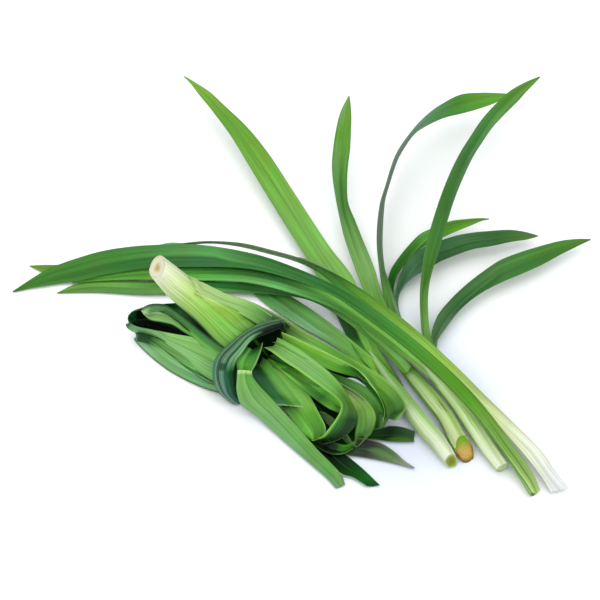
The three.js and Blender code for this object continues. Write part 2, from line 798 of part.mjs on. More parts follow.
// Blades of the bundle to the left of the tie, standing on edge: upper edge, then lower.
const BUNDLE_LEFT_LOOP = [
  [240, 337, 36, 240, 360, 10],
  [205, 326, 36, 205, 349, 9],
  [180, 317, 36, 180, 338, 9],
  [160, 311, 35, 160, 332, 9],
  [148, 308, 34.5, 149, 327, 9],
  [139, 309.5, 32, 140, 323, 9.5],
  [133, 312.5, 29.5, 131.5, 321, 11],
  [130.5, 317, 27.5, 128.3, 322, 12.5],
  [131, 322.5, 26, 128.8, 327.5, 11.5],
  [136, 326.8, 25, 133.5, 331.5, 10.5],
  [152, 329.8, 24.5, 153, 338.5, 8],
  [175, 334, 27, 172, 352, 7],
  [200, 338.7, 31, 197, 371, 9],
  [220, 346.5, 36, 213, 381, 14],
  [234, 353, 36, 226, 384, 18],
];
const BUNDLE_LOWER_LOOP = [
  [238, 376, 26, 238, 396, 6],
  [215, 384.5, 15, 217, 391, 3],
  [192, 372, 12, 195, 383, 1.5],
  [172, 356, 11, 172, 371.5, 1.5],
  [158, 345, 12, 156, 361.5, 1.5],
  [146, 338.5, 13, 144, 351, 1.5],
  [138, 334.5, 13.5, 136.5, 343, 1.6],
  [134.5, 333, 14, 133.5, 338.5, 3.6],
  [138, 332, 13.5, 138.5, 337.5, 5],
  [150, 334.5, 13.5, 151, 343, 4],
  [165, 341, 12, 166, 354, 2.4],
  [190, 355.5, 12, 192, 373, 2],
  [225, 372, 18, 225, 388, 3],
];
const BUNDLE_GAP_BLADE = [
  [167, 304, 38, 168, 311, 33],
  [181, 303.5, 40, 178, 318, 33],
  [192, 311, 41, 187, 328, 33],
  [206, 326, 41, 203, 340, 33],
  [222, 341, 40, 220, 354, 32],
  [236, 352, 38, 236, 366, 30],
];
const BUNDLE_UPPER_LOOP = [
  [240, 356, 40, 240, 370, 24],
  [218, 343.5, 42, 218, 357, 26],
  [200, 330.5, 44, 200, 344, 27],
  [185, 318, 45, 186, 331, 28],
  [170, 306.8, 45, 172, 320, 29],
  [160, 303.5, 44, 159, 314, 31],
  [149, 304.2, 42.5, 148, 311, 34],
  [141.3, 308.5, 41, 141.2, 310.5, 38],
  [143, 310.4, 40, 143.4, 314, 36.5],
  [152, 309.6, 39.5, 150, 319.5, 33.5],
  [164, 313, 38.5, 161, 321.8, 32],
  [176, 321, 37, 173, 325, 31],
  [186, 329.5, 35.5, 184, 332, 30.5],
  [200, 337, 33, 198, 340.5, 29],
  [230, 350, 33, 228, 357, 28],
];

// The tie: its two edges all the way round the bundle, over the top first, then underneath.
const TIE_ROUND = [
  [280, 319.5, 56, 284, 327, 55],
  [264, 322, 57.5, 267, 334, 55.5],
  [246, 330.5, 56.5, 252, 341, 54],
  [230, 343, 53, 243, 353, 50],
  [217, 356, 46, 237, 362, 43],
  [213, 370, 36, 234, 374, 33],
  [215, 385, 23, 235, 385, 21],
  [223, 396, 11, 237, 395, 10],
  [236, 404, 3, 246, 401, 3],
  [256, 394, 1.1, 268, 388, 1.1],
  [275, 366, 1.1, 289, 360, 1.1],
  [284, 346, 8, 298, 344, 8],
  [282, 330, 28, 292, 332, 28],
  [282, 321, 48, 287, 326, 47],
];
const TIE_STRAP = [
  [263, 342.5, 48, 250, 341, 51],
  [261, 351, 48.5, 243, 351, 49.5],
  [256, 364, 45.5, 236.5, 362, 46],
  [252, 371, 42, 237.5, 370, 42],
  [252.5, 376, 39, 237, 377, 38],
  [260, 386, 33, 236.5, 390, 27],
  [270, 396.5, 26, 241, 404.5, 13],
  [283, 411, 19, 257, 417, 6],
  [297, 426, 11.5, 271, 429.5, 3],
  [309, 440, 7, 285, 442, 2],
  [319, 451, 4, 300, 455, 2],
  [329, 463, 3, 315, 468, 1.6],
  [337, 476, 2, 327, 478.5, 1.6],
  [342.5, 486, 1.6, 337, 487.5, 1.6],
];

// Colour and roughness of each kind of leaf.
const MATERIALS = {
  blade: ["#4f9a3c", 0.5],
  tie: ["#2f6b4f", 0.5],
};

// A matte leaf colour by name.
function finish(name) {
  const [color, roughness] = MATERIALS[name];
  return new THREE.MeshStandardMaterial({ color, roughness, metalness: 0 });
}

// A named mesh from a manifold body.
function piece(name, body, material) {
  const mesh = body.getMesh();
  const places = new Float32Array(mesh.numVert * 3);
  for (let i = 0; i < mesh.numVert; i++)
    for (let k = 0; k < 3; k++)
      places[i * 3 + k] = mesh.vertProperties[i * mesh.numProp + k];
  const geometry = new THREE.BufferGeometry();
  geometry.setAttribute("position", new THREE.BufferAttribute(places, 3));
  geometry.setIndex(new THREE.BufferAttribute(mesh.triVerts, 1));
  geometry.computeVertexNormals();
  const node = new THREE.Mesh(geometry, finish(material));
  node.name = name;
  return node;
}

// Roundness of the stalks: height as a share of width.
const LOOSE_STALK = 0.95;
const PALE_STALK = 0.9;
const FOLDED_STALK = 0.8;

function shootA() {
  return fuse([
    stalk(SHOOT_A_STALK, LOOSE_STALK, SHOOT_A_CUT),
    blade(SHOOT_A_UPPER_BLADE, BROAD_BLADE),
    blade(SHOOT_A_LOWER_BLADE, MIDDLE_BLADE),
  ]);
}

function shootB() {
  return fuse([
    stalk(SHOOT_B_STALK, LOOSE_STALK, SHOOT_B_CUT),
    blade(SHOOT_B_STRAIGHT_BLADE, MIDDLE_BLADE),
    blade(SHOOT_B_HOOKED_BLADE, NARROW_BLADE),
    blade(SHOOT_B_SHORT_BLADE, NARROW_BLADE),
    blade(SHOOT_B_OUTER_BLADE, MIDDLE_BLADE),
  ]);
}

function shootC() {
  return fuse([
    stalk(SHOOT_C_STALK, PALE_STALK),
    blade(SHOOT_C_TALL_BLADE, MIDDLE_BLADE),
    blade(SHOOT_C_LOW_BLADE, MIDDLE_BLADE),
    blade(SHOOT_C_ARCH_BLADE, ARCH_WIDTH),
  ]);
}

// The folded bundle, with the space of the tie and a small gap round it left free.
function bundle() {
  const folded = (route, width, keelUp = false) =>
    blade(route, width, { step: FOLDED_STEP, taperEnd: false, keelUp });
  const short = (route, width) => blade(route, width, { taperEnd: false });
  const whole = fuse([
    stalk(BUNDLE_STALK, FOLDED_STALK, BUNDLE_STALK_CUT),
    short(BUNDLE_INNER_SHEATH, PRESSED_BLADE),
    short(BUNDLE_OUTER_SHEATH, PRESSED_BLADE),
    core(),
    folded(BUNDLE_BACK_BLADE, NARROW_BLADE),
    folded(BUNDLE_UPPER_BLADE, PRESSED_BLADE),
    folded(BUNDLE_MIDDLE_BLADE, SLIM_BLADE),
    short(BUNDLE_SHADE_BLADE, PRESSED_BLADE),
    folded(BUNDLE_BROAD_BLADE, PRESSED_BLADE),
    folded(BUNDLE_FRONT_BLADE, PRESSED_BLADE),
    folded(BUNDLE_INNER_BLADE, PRESSED_BLADE),
    folded(BUNDLE_LINING_BLADE, PRESSED_BLADE),
    short(BUNDLE_DEEP_BLADE, PRESSED_BLADE),
    short(BUNDLE_BASE_BLADE, PRESSED_BLADE),
    short(BUNDLE_CUT_END, NARROW_BLADE),
    short(BUNDLE_BLUNT_END, NARROW_BLADE),
    blade(BUNDLE_POINTED_END, NARROW_BLADE),
    short(BUNDLE_SIDE_END, NARROW_BLADE),
    folded(BUNDLE_LEFT_LOOP, NARROW_BLADE),
    folded(BUNDLE_LOWER_LOOP, PRESSED_BLADE, true),
    short(BUNDLE_GAP_BLADE, SLIM_BLADE),
    folded(BUNDLE_UPPER_LOOP, PRESSED_BLADE),
  ]);
  return fuse([whole.subtract(tieBody(TIE_GAP))]);
}

// The tie: its ring and the strap that comes off the top and ends as a pointed tail.
function tieBody(spread) {
  return wasm.Manifold.union([
    ring(TIE_ROUND, spread),
    blade(TIE_STRAP, TIE_WIDTH, { step: FOLDED_STEP, taperEnd: false, grow: spread }),
  ]);
}

const group = new THREE.Group();
group.add(piece("shoot_a", shootA(), "blade"));
group.add(piece("shoot_b", shootB(), "blade"));
group.add(piece("shoot_c", shootC(), "blade"));
group.add(piece("leaf_top", fuse([blade(TOP_BLADE, MIDDLE_BLADE)]), "blade"));
group.add(piece("leaf_back", fuse([blade(BACK_BLADE, MIDDLE_BLADE)]), "blade"));
group.add(piece("leaf_torn", fuse([blade(TORN_BLADE, SLIM_BLADE)]), "blade"));
group.add(piece("bundle", bundle(), "blade"));
group.add(piece("tie_leaf", fuse([tieBody(0)]), "tie"));

export default group;
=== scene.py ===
"""The looks of a pandan leaf bunch: leafy shoots fanned out behind a folded bundle tied with a leaf.

Metres, Z up, the table at z = 0. Heights and widths in the lists below are in millimetres.
"""
import math

import bpy
import numpy as np
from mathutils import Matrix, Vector


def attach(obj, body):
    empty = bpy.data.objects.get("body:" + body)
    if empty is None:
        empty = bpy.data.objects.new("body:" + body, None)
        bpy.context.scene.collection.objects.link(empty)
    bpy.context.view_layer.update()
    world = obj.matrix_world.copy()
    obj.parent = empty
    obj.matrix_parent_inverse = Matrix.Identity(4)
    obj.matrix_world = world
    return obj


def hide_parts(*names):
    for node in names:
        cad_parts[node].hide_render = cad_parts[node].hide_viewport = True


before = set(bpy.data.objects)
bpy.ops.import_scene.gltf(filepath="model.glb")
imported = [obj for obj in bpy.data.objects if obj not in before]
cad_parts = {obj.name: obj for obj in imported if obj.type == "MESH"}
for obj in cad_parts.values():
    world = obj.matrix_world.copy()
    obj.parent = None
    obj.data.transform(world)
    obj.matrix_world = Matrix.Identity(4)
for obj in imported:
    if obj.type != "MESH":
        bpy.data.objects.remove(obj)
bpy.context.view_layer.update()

MM = 0.001

# The viewpoint that the routes are read from.
VIEW_ELEVATION = math.radians(48)
VIEW_FOCAL = 1416.67
VIEW_DISTANCE = 1225
VIEW_MIDDLE = 300
AIM = (-4.4, -35.4)
SIN = math.sin(VIEW_ELEVATION)
COS = math.cos(VIEW_ELEVATION)
EYE = np.array([AIM[0], AIM[1] - VIEW_DISTANCE * COS, VIEW_DISTANCE * SIN])

# Camera, floor and light.
LENS_MM = 85
SENSOR_MM = 36
FLOOR_REACH = 12
# Painted floor shadow: the floor is darker and bluer near a point under the stalks, and fades out to the
# plain floor colour.
FLOOR_SHADOW_TONE = (0.6, 0.64, 0.73, 1)
FLOOR_FAR = (0.95, 0.945, 0.935, 1)
FLOOR_SHADOW_CENTRE = (0.07, -0.15, 0.0)
FLOOR_SHADOW_REACH = (0.03, 0.16)
FLOOR_SHINE = 0.1
FLOOR_ROUGHNESS = 0.9
LIGHT_TARGET = (0, -0.06, 0)
SKY_COLOUR = (0.9, 0.94, 1.0, 1)
SKY_STRENGTH = 1.0
EXPOSURE = 0.72

# Widths and thicknesses of the blades, and the shape of their fold and edges.
BROAD_BLADE = 24
MIDDLE_BLADE = 22
NARROW_BLADE = 19
ARCH_WIDTH = 16
PRESSED_BLADE = 15
TIE_WIDTH = 14
SLIM_BLADE = 12
BLADE_MIDDLE = 0.7
BLADE_EDGE = 0.3
EDGE_THINNING = 0.7
TIP_THICKNESS = 0.4
TIP_SHARE = 0.35
TIP_ROUNDNESS = 0.7
TABLE_GAP = 0.15
DEEPEST_FOLD = 1.25
KEEL_ROUND = 0.16
STEEPEST_BLADE = 0.3
FEWEST_BLADE_ROWS = 16
SECOND_SWAY = 0.5
SECOND_WAVE = 2.3
SWAY_SHIFT = 7
PHASE_STEP = 1.7
SHARP_ANGLE = math.radians(50)
SHAPE = {
    "columns": 16, "step": 3.5, "taper_end": True, "keel_up": False, "least_fold": 0.08,
    "hollow": (0.6, 0.1), "bulge": 0.05, "pleats": 5, "pleat": 0.12, "ripple": 0.5, "wave": 38,
}
FOLDED = {"step": 2.5, "taper_end": False, "hollow": (0.3, 0.3), "ripple": 0.3, "least_fold": 0.05}
PRESSED = {**FOLDED, "bulge": 0.03, "pleat": 0.2, "pleats": 6}
STRAP = {**FOLDED, "hollow": (0.2, 0.2)}

# Stalks: sides, spacing of the rings, directions of the cuts, and rings and steps of a cut face.
STALK_SIDES = 64
STALK_STEP = 2.5
FEWEST_STALK_ROWS = 24
SHOOT_A_CUT = (0.36, -0.78, 0.5)
SHOOT_B_CUT = (0.27, -0.59, 0.76)
BUNDLE_STALK_CUT = (-0.62, -0.05, 0.78)
CUT_REACH = 30
CUT_RINGS = (
    (0.96, -0.03), (0.86, 0.0), (0.84, 0.05), (0.62, 0.02), (0.6, 0.07), (0.3, 0.03), (0.12, 0.06),
)
MEAN_LAP = 0.25

# The tie's strands and the core inside it.
TIE_ROWS = 150
TIE_COLUMNS = 8
STRAND_SHOULDER = 0.35
STRAND_ROUNDNESS = 0.7
STRAND_UNEVENNESS = 0.12
UNEVEN_WAVES = 5
UNEVEN_SHIFT = 20
WANDER_WAVES = 2
WANDER_SHIFT = 9
STRAND_RIDGE = 0.14
RIDGE_WAVES = 14
STRAND_LIFT = 0.05
CORE_SIDES = 88
CORE_ROWS = 30
CORE_FLUTE = 0.06
CORE_FLUTES = 11
FLUTE_SHIFT = 2
FLUTE_SHIFTS = 3
CORE_REPEATS = 4
CORE_SCALES = ((-20, 0.5), (-12, 0.8), (-5, 0.92), (3, 0.9), (7, 0.64), (10, 0.34))
BUNDLE_AXIS = np.array([0.84, -0.54, 0])

# Leaf surface: streaks are fine, long and rough; changes run from low to high of their pattern.
SHINE = 0.2
BROAD_STREAKS = (6.0, 7.0, 0.5)
FINE_STREAKS = (46.0, 9.0, 0.6)
MOTTLE = (30.0, 3.0)
BROAD_CHANGE = (0.3, 0.7, 0.85, 1.14)
FINE_CHANGE = (0.28, 0.72, 0.79, 1.2)
MOTTLE_CHANGE = (0.3, 0.7, 0.93, 1.06)
HUE_CHANGE = (0.3, 0.7, 0.490, 0.508)
LEAF_ROUGHNESS = (0.3, 0.7, 0.36, 0.5)
LEAF_RELIEF = (0.4, 0.0007)
BROAD_RELIEF = 0.8
PATCH_MIDDLE = 0.1
# Where one half's painted light or shade changes over to the other's.
HALVES_SHADE = (0.46, 0.54)
HALVES_MEET = (0.5, 0.06)
UNDER_SHARE = 0.35
UNDER_TONE = (120, 160, 95)
RIB_TONE = (60, 112, 38)
RIB_LINES = ((0.5, 0.05, RIB_TONE, 0.4),)
EDGE = ((62, 106, 44), 0.4, 0.05)
DARK_EDGE = ((22, 56, 16), 0.7, 0.14)
NO_EDGE = ((0, 0, 0), 0.0, 0.1)
# Painted highlight down the middle of each strand, and painted shade in the gaps along its edges.
STRAND_HIGHLIGHT = (0.6, 0.16, (160, 190, 165), 0.3)
STRAND_GAP_SHADE = ((6, 34, 18), 0.8, 0.16)

# Cut faces.
RING_WOBBLE = (0.2, 0.8, -0.09, 0.09)
RING_NOISE = (6.0, 3.0)
RING_DENSITY = 26.0
CUT_GRAIN = (24.0, 4.0, 0.6)
GRAIN_CHANGE = (0.3, 0.7, 0.86, 1.1)
CUT_TINT = 0.9
CUT_ROUGHNESS = 0.62
CUT_RELIEF = (0.3, 0.0004)

# Routes of the leaves: left edge u, v and height, then right edge; stalks have u, v, height, radius.
SHOOT_A_STALK = [
    (451.5, 461.5, 4.8, 5.2), (445, 452, 5.8, 6.2), (437, 441, 6.8, 6.8), (427, 430, 7.6, 7.3),
    (416, 416, 7.8, 7.2), (402, 397, 7.2, 6.6), (389, 379, 6, 4.8), (378, 363, 4.6, 3),
    (370, 351, 3.4, 1.6),
]
SHOOT_A_UPPER_BLADE = [
    (398, 398, 6, 406, 392, 6.5), (388, 386, 5, 400, 380, 6), (358, 354, 5, 378, 347, 7),
    (340, 323, 5, 364, 313, 6), (325, 290, 5, 353, 277.5, 6), (308, 260, 8, 330, 247, 8),
    (290, 232, 12, 311, 219, 12), (270, 200, 16, 291, 188, 16), (250, 167, 20, 270, 156, 20),
    (230, 135, 23, 247, 127, 23), (210, 108, 24, 222, 103, 24), (200, 96, 24, 210, 92, 24),
    (190, 83, 23, 194, 81.5, 23), (183.5, 76.6, 22, 184.6, 76, 22),
]
SHOOT_A_LOWER_BLADE = [
    (404, 406, 6, 411, 400, 7), (390, 390, 6, 401, 384, 7), (370, 372, 6, 382, 364, 7),
    (350, 358, 6, 362, 348, 7), (328, 342, 6, 341, 331, 6.5), (299, 326, 5.5, 318, 314, 6),
    (277, 311.5, 4, 297, 300, 4.5), (258.5, 297.5, 2.6, 276, 288, 3), (245, 285, 1.6, 256, 278, 1.8),
    (222, 271, 1, 224, 269.5, 1),
]
SHOOT_B_STALK = [
    (464.5, 449.5, 7, 7.2), (457, 437, 7.4, 7.2), (446, 417, 7.8, 7), (432, 399, 8, 7),
    (412, 375, 7.4, 6.2), (397, 356, 6.4, 4.6), (386, 339, 5, 2.8), (380, 328, 4, 1.5),
]
SHOOT_B_STRAIGHT_BLADE = [
    (398, 362, 9, 410, 356, 9), (384, 335, 9, 398, 330, 9), (370, 306, 9, 386, 303, 9),
    (363, 288, 10, 380, 288, 10), (355, 268, 12, 374, 268, 12), (345, 240, 16, 362.5, 239, 16),
    (340, 220, 19, 355, 220, 19), (336, 200, 22, 348, 202, 22), (333, 180, 26, 347, 182, 26),
    (332, 165, 28, 348, 165, 28), (333, 150, 30, 350, 150, 30), (335, 135, 32, 351, 133, 32),
    (338, 120, 33, 351.5, 119, 33), (342, 108, 34, 351, 107, 34), (348.4, 96, 34, 349.6, 96, 34),
]
SHOOT_B_HOOKED_BLADE = [
    (402, 356, 9, 412, 352, 10), (391, 326, 8, 401, 325, 12), (384.5, 302, 7, 392, 301, 19),
    (380, 272, 7, 385, 270, 24.5), (377.5, 240, 9, 382, 240, 27), (379.5, 205, 13, 384, 204, 31),
    (385, 185, 16, 389, 186, 34), (393, 160, 21, 398, 160, 39), (399, 148, 24, 405, 147.5, 41.5),
    (408, 135, 29, 415, 134, 44), (417, 124, 32, 426, 126.5, 44), (428, 113.5, 35, 436, 121.5, 42),
    (440, 105, 37, 446, 117.5, 41), (460, 95, 38, 464, 113, 38), (480, 93, 36, 481, 108, 35),
    (495, 93, 34, 495, 103, 32), (508, 93.5, 31, 506, 97.5, 30), (518, 92, 28, 518, 93.5, 28),
]
SHOOT_B_SHORT_BLADE = [
    (402, 352, 8, 412, 350, 8), (390, 318, 8, 400, 318, 8), (387, 292, 9, 394, 295, 9),
    (390, 272, 10, 396, 278, 10), (400, 256, 12, 406, 262, 12), (410, 244, 13, 415, 252.5, 13),
    (420, 234, 14, 425, 246, 14), (430, 229, 15, 435, 241, 15), (450, 221, 17, 455, 232, 17),
    (465, 219, 18, 470, 226, 18), (480, 218, 18, 482, 221, 18), (489, 218.6, 17, 489, 219.6, 17),
]
SHOOT_B_OUTER_BLADE = [
    (408, 356, 7, 416, 360, 7), (398, 325, 8, 405, 328, 8), (394, 300, 9, 398, 304, 9),
    (399, 278, 10, 403, 287, 10), (406, 262, 12, 414, 277, 12), (418, 250.5, 14, 428, 269, 14),
    (432, 244, 15, 441, 261.5, 15), (453, 236.5, 16, 459, 254, 16), (470, 233, 16, 474, 249, 16),
    (490, 231, 15, 492, 246, 15), (510, 230, 13, 512, 241.7, 13), (525, 232, 11, 526, 239.7, 11),
    (538, 235.5, 9, 538, 236.6, 9),
]
SHOOT_C_STALK = [
    (502.5, 467.5, 6, 5.6), (490, 450.5, 7, 6.5), (475, 428, 8, 7), (459, 405, 9.4, 6.6),
    (443, 385.5, 11.4, 5.8), (429, 369, 13.4, 4.2), (418, 355, 15, 2),
]
SHOOT_C_TALL_BLADE = [
    (448, 386, 10, 456, 381, 10), (434, 362, 11, 443, 359, 11), (423, 338, 11.5, 431, 337, 11.5),
    (420, 310, 15, 428, 310, 15), (420, 290, 21, 428.5, 290, 21), (422, 270, 26, 432, 272, 26),
    (425, 250, 30, 438, 253, 30), (430, 230, 34, 443.5, 234, 34), (440, 198, 39, 453.5, 202, 39),
    (450, 173, 42, 463.5, 177, 42), (460, 153, 45, 473.5, 156, 45), (470, 137, 47, 483, 141, 47),
    (480, 122, 48, 492, 128, 48), (490, 110, 49, 502, 117, 49), (500, 100, 50, 511, 108, 50),
    (510, 91, 50, 519, 100, 50), (520, 85, 49, 527, 91, 49), (530, 80, 48, 533, 85, 48),
    (539.6, 76.4, 47, 540.4, 77.4, 47),
]
SHOOT_C_LOW_BLADE = [
    (448, 387, 8, 455, 383, 8), (435, 362, 8, 441, 361, 8), (431, 339, 9, 437, 343, 9),
    (437, 317, 10, 445, 329, 10), (450, 300, 11, 459, 311, 11), (465, 285.5, 12, 474, 298, 12),
    (482, 272, 13, 490, 288, 13), (500, 260, 14, 506, 280.5, 14), (520, 252, 14, 524, 273, 14),
    (540, 246, 13, 543, 264.5, 13), (560, 241, 12, 562, 254, 12), (578, 239, 11, 579, 245.5, 11),
    (590.6, 239, 10, 590.8, 240, 10),
]
SHOOT_C_ARCH_BLADE = [
    (448, 396, 11, 457, 388, 12), (430, 379, 16, 439, 370, 18), (402, 356, 21, 412, 346, 22),
    (370, 332, 22, 380, 321, 24), (340, 312, 21, 348, 299, 22), (300, 296, 18, 305, 281, 18.5),
    (250, 283.5, 13, 253, 267, 13.5), (200, 280.5, 8, 200, 264.5, 8.5), (140, 279.5, 6, 140, 267, 6),
    (100, 281, 3.8, 100, 275, 3.8), (72, 283.6, 2.4, 72, 282.4, 2.4),
]
TOP_BLADE = [
    (530, 495, 6, 540, 490, 6), (519, 477, 9, 531, 470.5, 9), (500, 447.5, 16.2, 510, 441, 16.2),
    (480, 420, 23.6, 489, 412.5, 23.6), (450, 387, 30, 458, 378, 30), (410, 350, 36, 417, 341, 36),
    (370, 318, 37, 376, 310.5, 37), (330, 293, 34.5, 334, 285, 36.5), (290, 278, 28, 293, 267, 31),
    (250, 269, 22, 252, 253.5, 26), (200, 267, 15, 200, 244.5, 19), (150, 268, 10, 150, 245, 15),
    (120, 272, 8, 119, 248, 12), (100, 275.5, 7, 98, 252, 10), (80, 280.5, 5.4, 78, 258, 8),
    (60, 283.3, 3, 58, 265, 6), (45, 285.6, 3, 43, 271.8, 4), (30, 288.4, 2, 28, 281, 3),
    (13, 292.4, 1.4, 12.4, 291.4, 1.4),
]
BACK_BLADE = [
    (550, 492, 5, 569, 488, 5), (541, 477, 7, 557, 473, 7), (524, 455, 9, 538, 447, 9),
    (500, 427, 12, 512, 421, 12), (474, 398, 17, 484, 394, 18), (444, 368, 22, 455, 365, 23),
    (404, 334, 24, 415, 329, 26), (366, 307, 24, 377, 300, 27), (336, 286, 21, 346, 279.5, 27),
    (317, 271.5, 18, 321, 267, 29), (297, 261.5, 15, 299, 258, 28.5),
    (270, 253.5, 11.5, 271, 250.4, 26), (236, 246.2, 7.5, 236.5, 243, 22),
    (200, 244.4, 4, 200, 241.5, 18), (150, 253, 3.4, 150, 247, 8), (100, 264, 2, 100, 257, 4),
    (60, 274, 1.4, 60, 264.5, 3), (43, 272, 1.3, 44, 264.8, 2.4),
    (30, 266.6, 1.4, 29, 265.6, 1.4),
]
TORN_BLADE = [
    (403, 373, 19, 411, 366, 20), (384, 353, 17, 394, 348, 18), (364, 335.5, 14.5, 374, 330.5, 15.5),
    (345, 320.5, 13, 355, 312.5, 14), (320, 304.5, 11, 327, 298, 12), (297, 297, 10, 301, 290, 11),
    (250, 292.5, 7, 252, 284, 8), (200, 292.5, 4.5, 200, 281, 5.5), (145, 294.5, 3, 145, 280.5, 3),
    (100, 292.5, 2, 100, 280.5, 2), (75, 292.8, 1.4, 75, 284.5, 1.4), (57, 293.5, 1, 57, 292.6, 1),
]
BUNDLE_STALK = [
    (157.2, 267.2, 84, 9.3), (167.6, 277, 80, 10.7), (180, 288.6, 74, 11.9), (196, 302, 66, 12),
    (211, 316, 57, 12.4), (226, 331, 47, 13), (242, 345, 39, 12),
]
BUNDLE_OUTER_SHEATH = [
    (189, 282.5, 70, 190.5, 280, 68), (197, 292, 77.5, 199.5, 281.5, 74), (211, 302, 72, 214, 288.5, 68),
    (226, 308.5, 66, 229, 295.5, 62), (241, 315, 60, 244.5, 299.5, 57), (257, 324.5, 53.5, 258, 306.5, 52),
    (270, 334, 48, 272, 315.5, 48),
]
BUNDLE_INNER_SHEATH = [
    (194, 292, 77, 197, 291, 78), (204, 300.5, 72, 211, 299.5, 71), (216, 311, 65, 228, 306, 64.5),
    (229, 322, 58.5, 243, 312.5, 58.5), (238, 331, 52.5, 257, 321.5, 52), (246, 340, 46, 266, 330.5, 47),
]
BUNDLE_BACK_BLADE = [
    (226, 293, 46, 236, 313, 46), (252, 302, 46, 258, 324, 45), (280, 316, 44, 283, 337, 41),
    (302, 330, 41, 307, 348, 38), (327, 344, 38, 333, 360, 35), (353, 360, 35, 357, 375, 32),
    (378, 374, 31, 375, 389, 29), (397, 389, 28, 384, 402, 27), (406.5, 404, 22, 387, 415, 21),
    (404, 412, 15, 386, 424, 15), (394, 420.5, 8, 380, 429, 8), (378, 402, 4, 374, 421, 4),
    (353, 387, 4, 350, 405, 4), (320, 367, 5, 318, 385, 5), (285, 346, 10, 283, 364, 10),
    (258, 336, 18, 254, 350, 18),
]
BUNDLE_UPPER_BLADE = [
    (254, 325, 46, 256, 338, 43), (284, 333, 50, 281, 345, 46), (310, 345, 48.5, 300, 356, 43),
    (330, 354.5, 45, 317, 364, 39), (348, 363.5, 41, 333, 371, 35), (358, 370, 37.5, 349, 375.5, 31),
    (365, 377, 34, 359, 378.5, 28), (371, 385, 31, 366, 387, 26), (378, 394, 27.5, 375, 397, 24),
    (382.5, 403, 23, 380, 405.5, 20), (385, 412, 17.5, 382, 413, 15.5), (383, 422, 12, 380, 421, 11),
]
BUNDLE_MIDDLE_BLADE = [
    (256, 330, 34, 252, 346, 32), (285, 344, 37, 280, 362, 34), (310, 358, 35, 305, 373, 31),
    (333, 373, 32, 329, 382, 28), (352, 380, 29, 349, 390, 26), (366, 387, 26, 361, 398, 23),
    (376, 396, 23, 370, 405, 20), (383, 407, 18, 374.5, 413, 15), (384, 418, 12, 375, 424, 9),
    (377, 430, 5, 370, 436, 3.4), (362, 420, 2.4, 358, 432, 2.4), (340, 400, 2.4, 336, 414, 2.4),
    (310, 378, 4, 307, 394, 4), (282, 361, 8, 278, 377, 8), (258, 350, 14, 252, 364, 14),
]
BUNDLE_SHADE_BLADE = [
    (283, 346, 38, 281, 358, 31), (304, 355, 37, 300, 369, 28), (325, 365, 34, 320, 378, 25),
    (340, 371, 30, 336, 381, 24), (351, 373, 28, 349, 377.6, 26), (359, 375.5, 26.5, 357, 379.2, 25),
    (367, 380.5, 24.5, 364, 384.4, 23),
]
BUNDLE_BROAD_BLADE = [
    (262, 342, 30, 254, 352, 28), (298, 361, 33, 288, 373, 30), (324, 375, 31, 314, 386, 27),
    (340, 383, 28, 333, 389, 24), (354, 391, 26, 344, 397, 22), (366, 400, 23, 352.5, 406, 19),
    (373.5, 409, 19, 357, 415, 14.5), (376, 418, 14, 357, 423, 10.5), (372.5, 431, 9, 355, 432, 7),
    (365, 440, 4, 354.5, 441, 3.6), (356, 447, 2, 352, 448, 2), (342, 424, 2, 337, 436, 2),
    (308, 397, 2.4, 305, 413, 2), (280, 379, 6, 275, 394, 5), (256, 364, 12, 248, 378, 11),
]
BUNDLE_FRONT_BLADE = [
    (248, 334, 34, 241, 344, 31), (266, 335, 44.5, 256, 345, 40.5), (281, 339, 47.5, 269, 350, 44.5),
    (299, 349, 45, 284, 361, 41), (313, 359, 42, 298, 370, 38), (327, 370, 38, 312, 380, 34),
    (338, 381, 34, 325, 389.5, 30.5), (346, 392, 30, 336, 397.5, 27.5), (352, 402, 25.5, 341, 404.5, 24),
    (356.5, 412, 20.5, 339.5, 412.5, 18.5), (356.5, 422, 14.5, 334.5, 421, 12.5),
    (350, 432, 11, 328, 429.5, 11), (338, 440, 8.5, 321, 437, 9), (324, 444, 6, 311.5, 440.5, 6.5),
]
BUNDLE_INNER_BLADE = [
    (322, 438, 6, 311, 440, 3), (326, 429, 9.5, 303, 433, 6), (319, 413, 13, 291, 418, 9),
    (311, 398, 15, 279, 403, 11), (301, 384, 20, 268, 388, 16), (288, 371, 26, 258, 374, 22),
    (270, 359, 31, 248, 363, 28), (252, 350, 32, 238, 354, 28),
]
BUNDLE_LINING_BLADE = [
    (258, 346, 32, 248, 352, 30), (284, 358, 36, 272, 364, 32), (301, 370, 33, 288, 377, 28),
    (317, 380, 29, 303, 390, 24), (330, 390, 25, 317, 400.5, 20), (339, 400, 21.5, 329, 408.5, 17),
    (342, 408, 18, 339, 412.5, 14.5),
]
BUNDLE_DEEP_SHADOW_BLADE = [
    (262, 356, 16, 252, 372, 14), (290, 368, 13, 278, 392, 11), (316, 384, 10, 300, 410, 8),
    (340, 404, 6, 318, 430, 4), (352, 420, 4, 334, 442, 3), (357, 434, 4, 348, 447, 3),
]
BUNDLE_BASE_BLADE = [
    (300, 412, 5, 296, 424, 2), (316, 429, 4.5, 308, 440, 2), (328, 439.5, 5, 321, 449, 4.4),
    (338, 444, 6, 333, 454, 5), (347, 445, 6, 344, 453.5, 5), (355, 441, 6, 353, 448.5, 5),
]
BUNDLE_CUT_END = [
    (250, 350, 34, 240, 356, 34), (266, 360, 37, 248, 364, 36), (276, 371, 33, 252, 374, 33),
    (287, 385, 27, 258, 387, 27), (296, 397, 22.5, 266, 397, 22), (303, 407, 18.5, 275, 405, 18),
]
BUNDLE_BLUNT_END = [
    (310, 425, 2, 298, 436, 2), (330, 441, 2, 317, 452, 2), (348, 456, 2, 333, 468.5, 2),
    (356, 462.7, 2, 343, 475.5, 2), (364, 469.5, 2, 351.5, 477.5, 2), (380, 485, 2, 366, 486, 2),
]
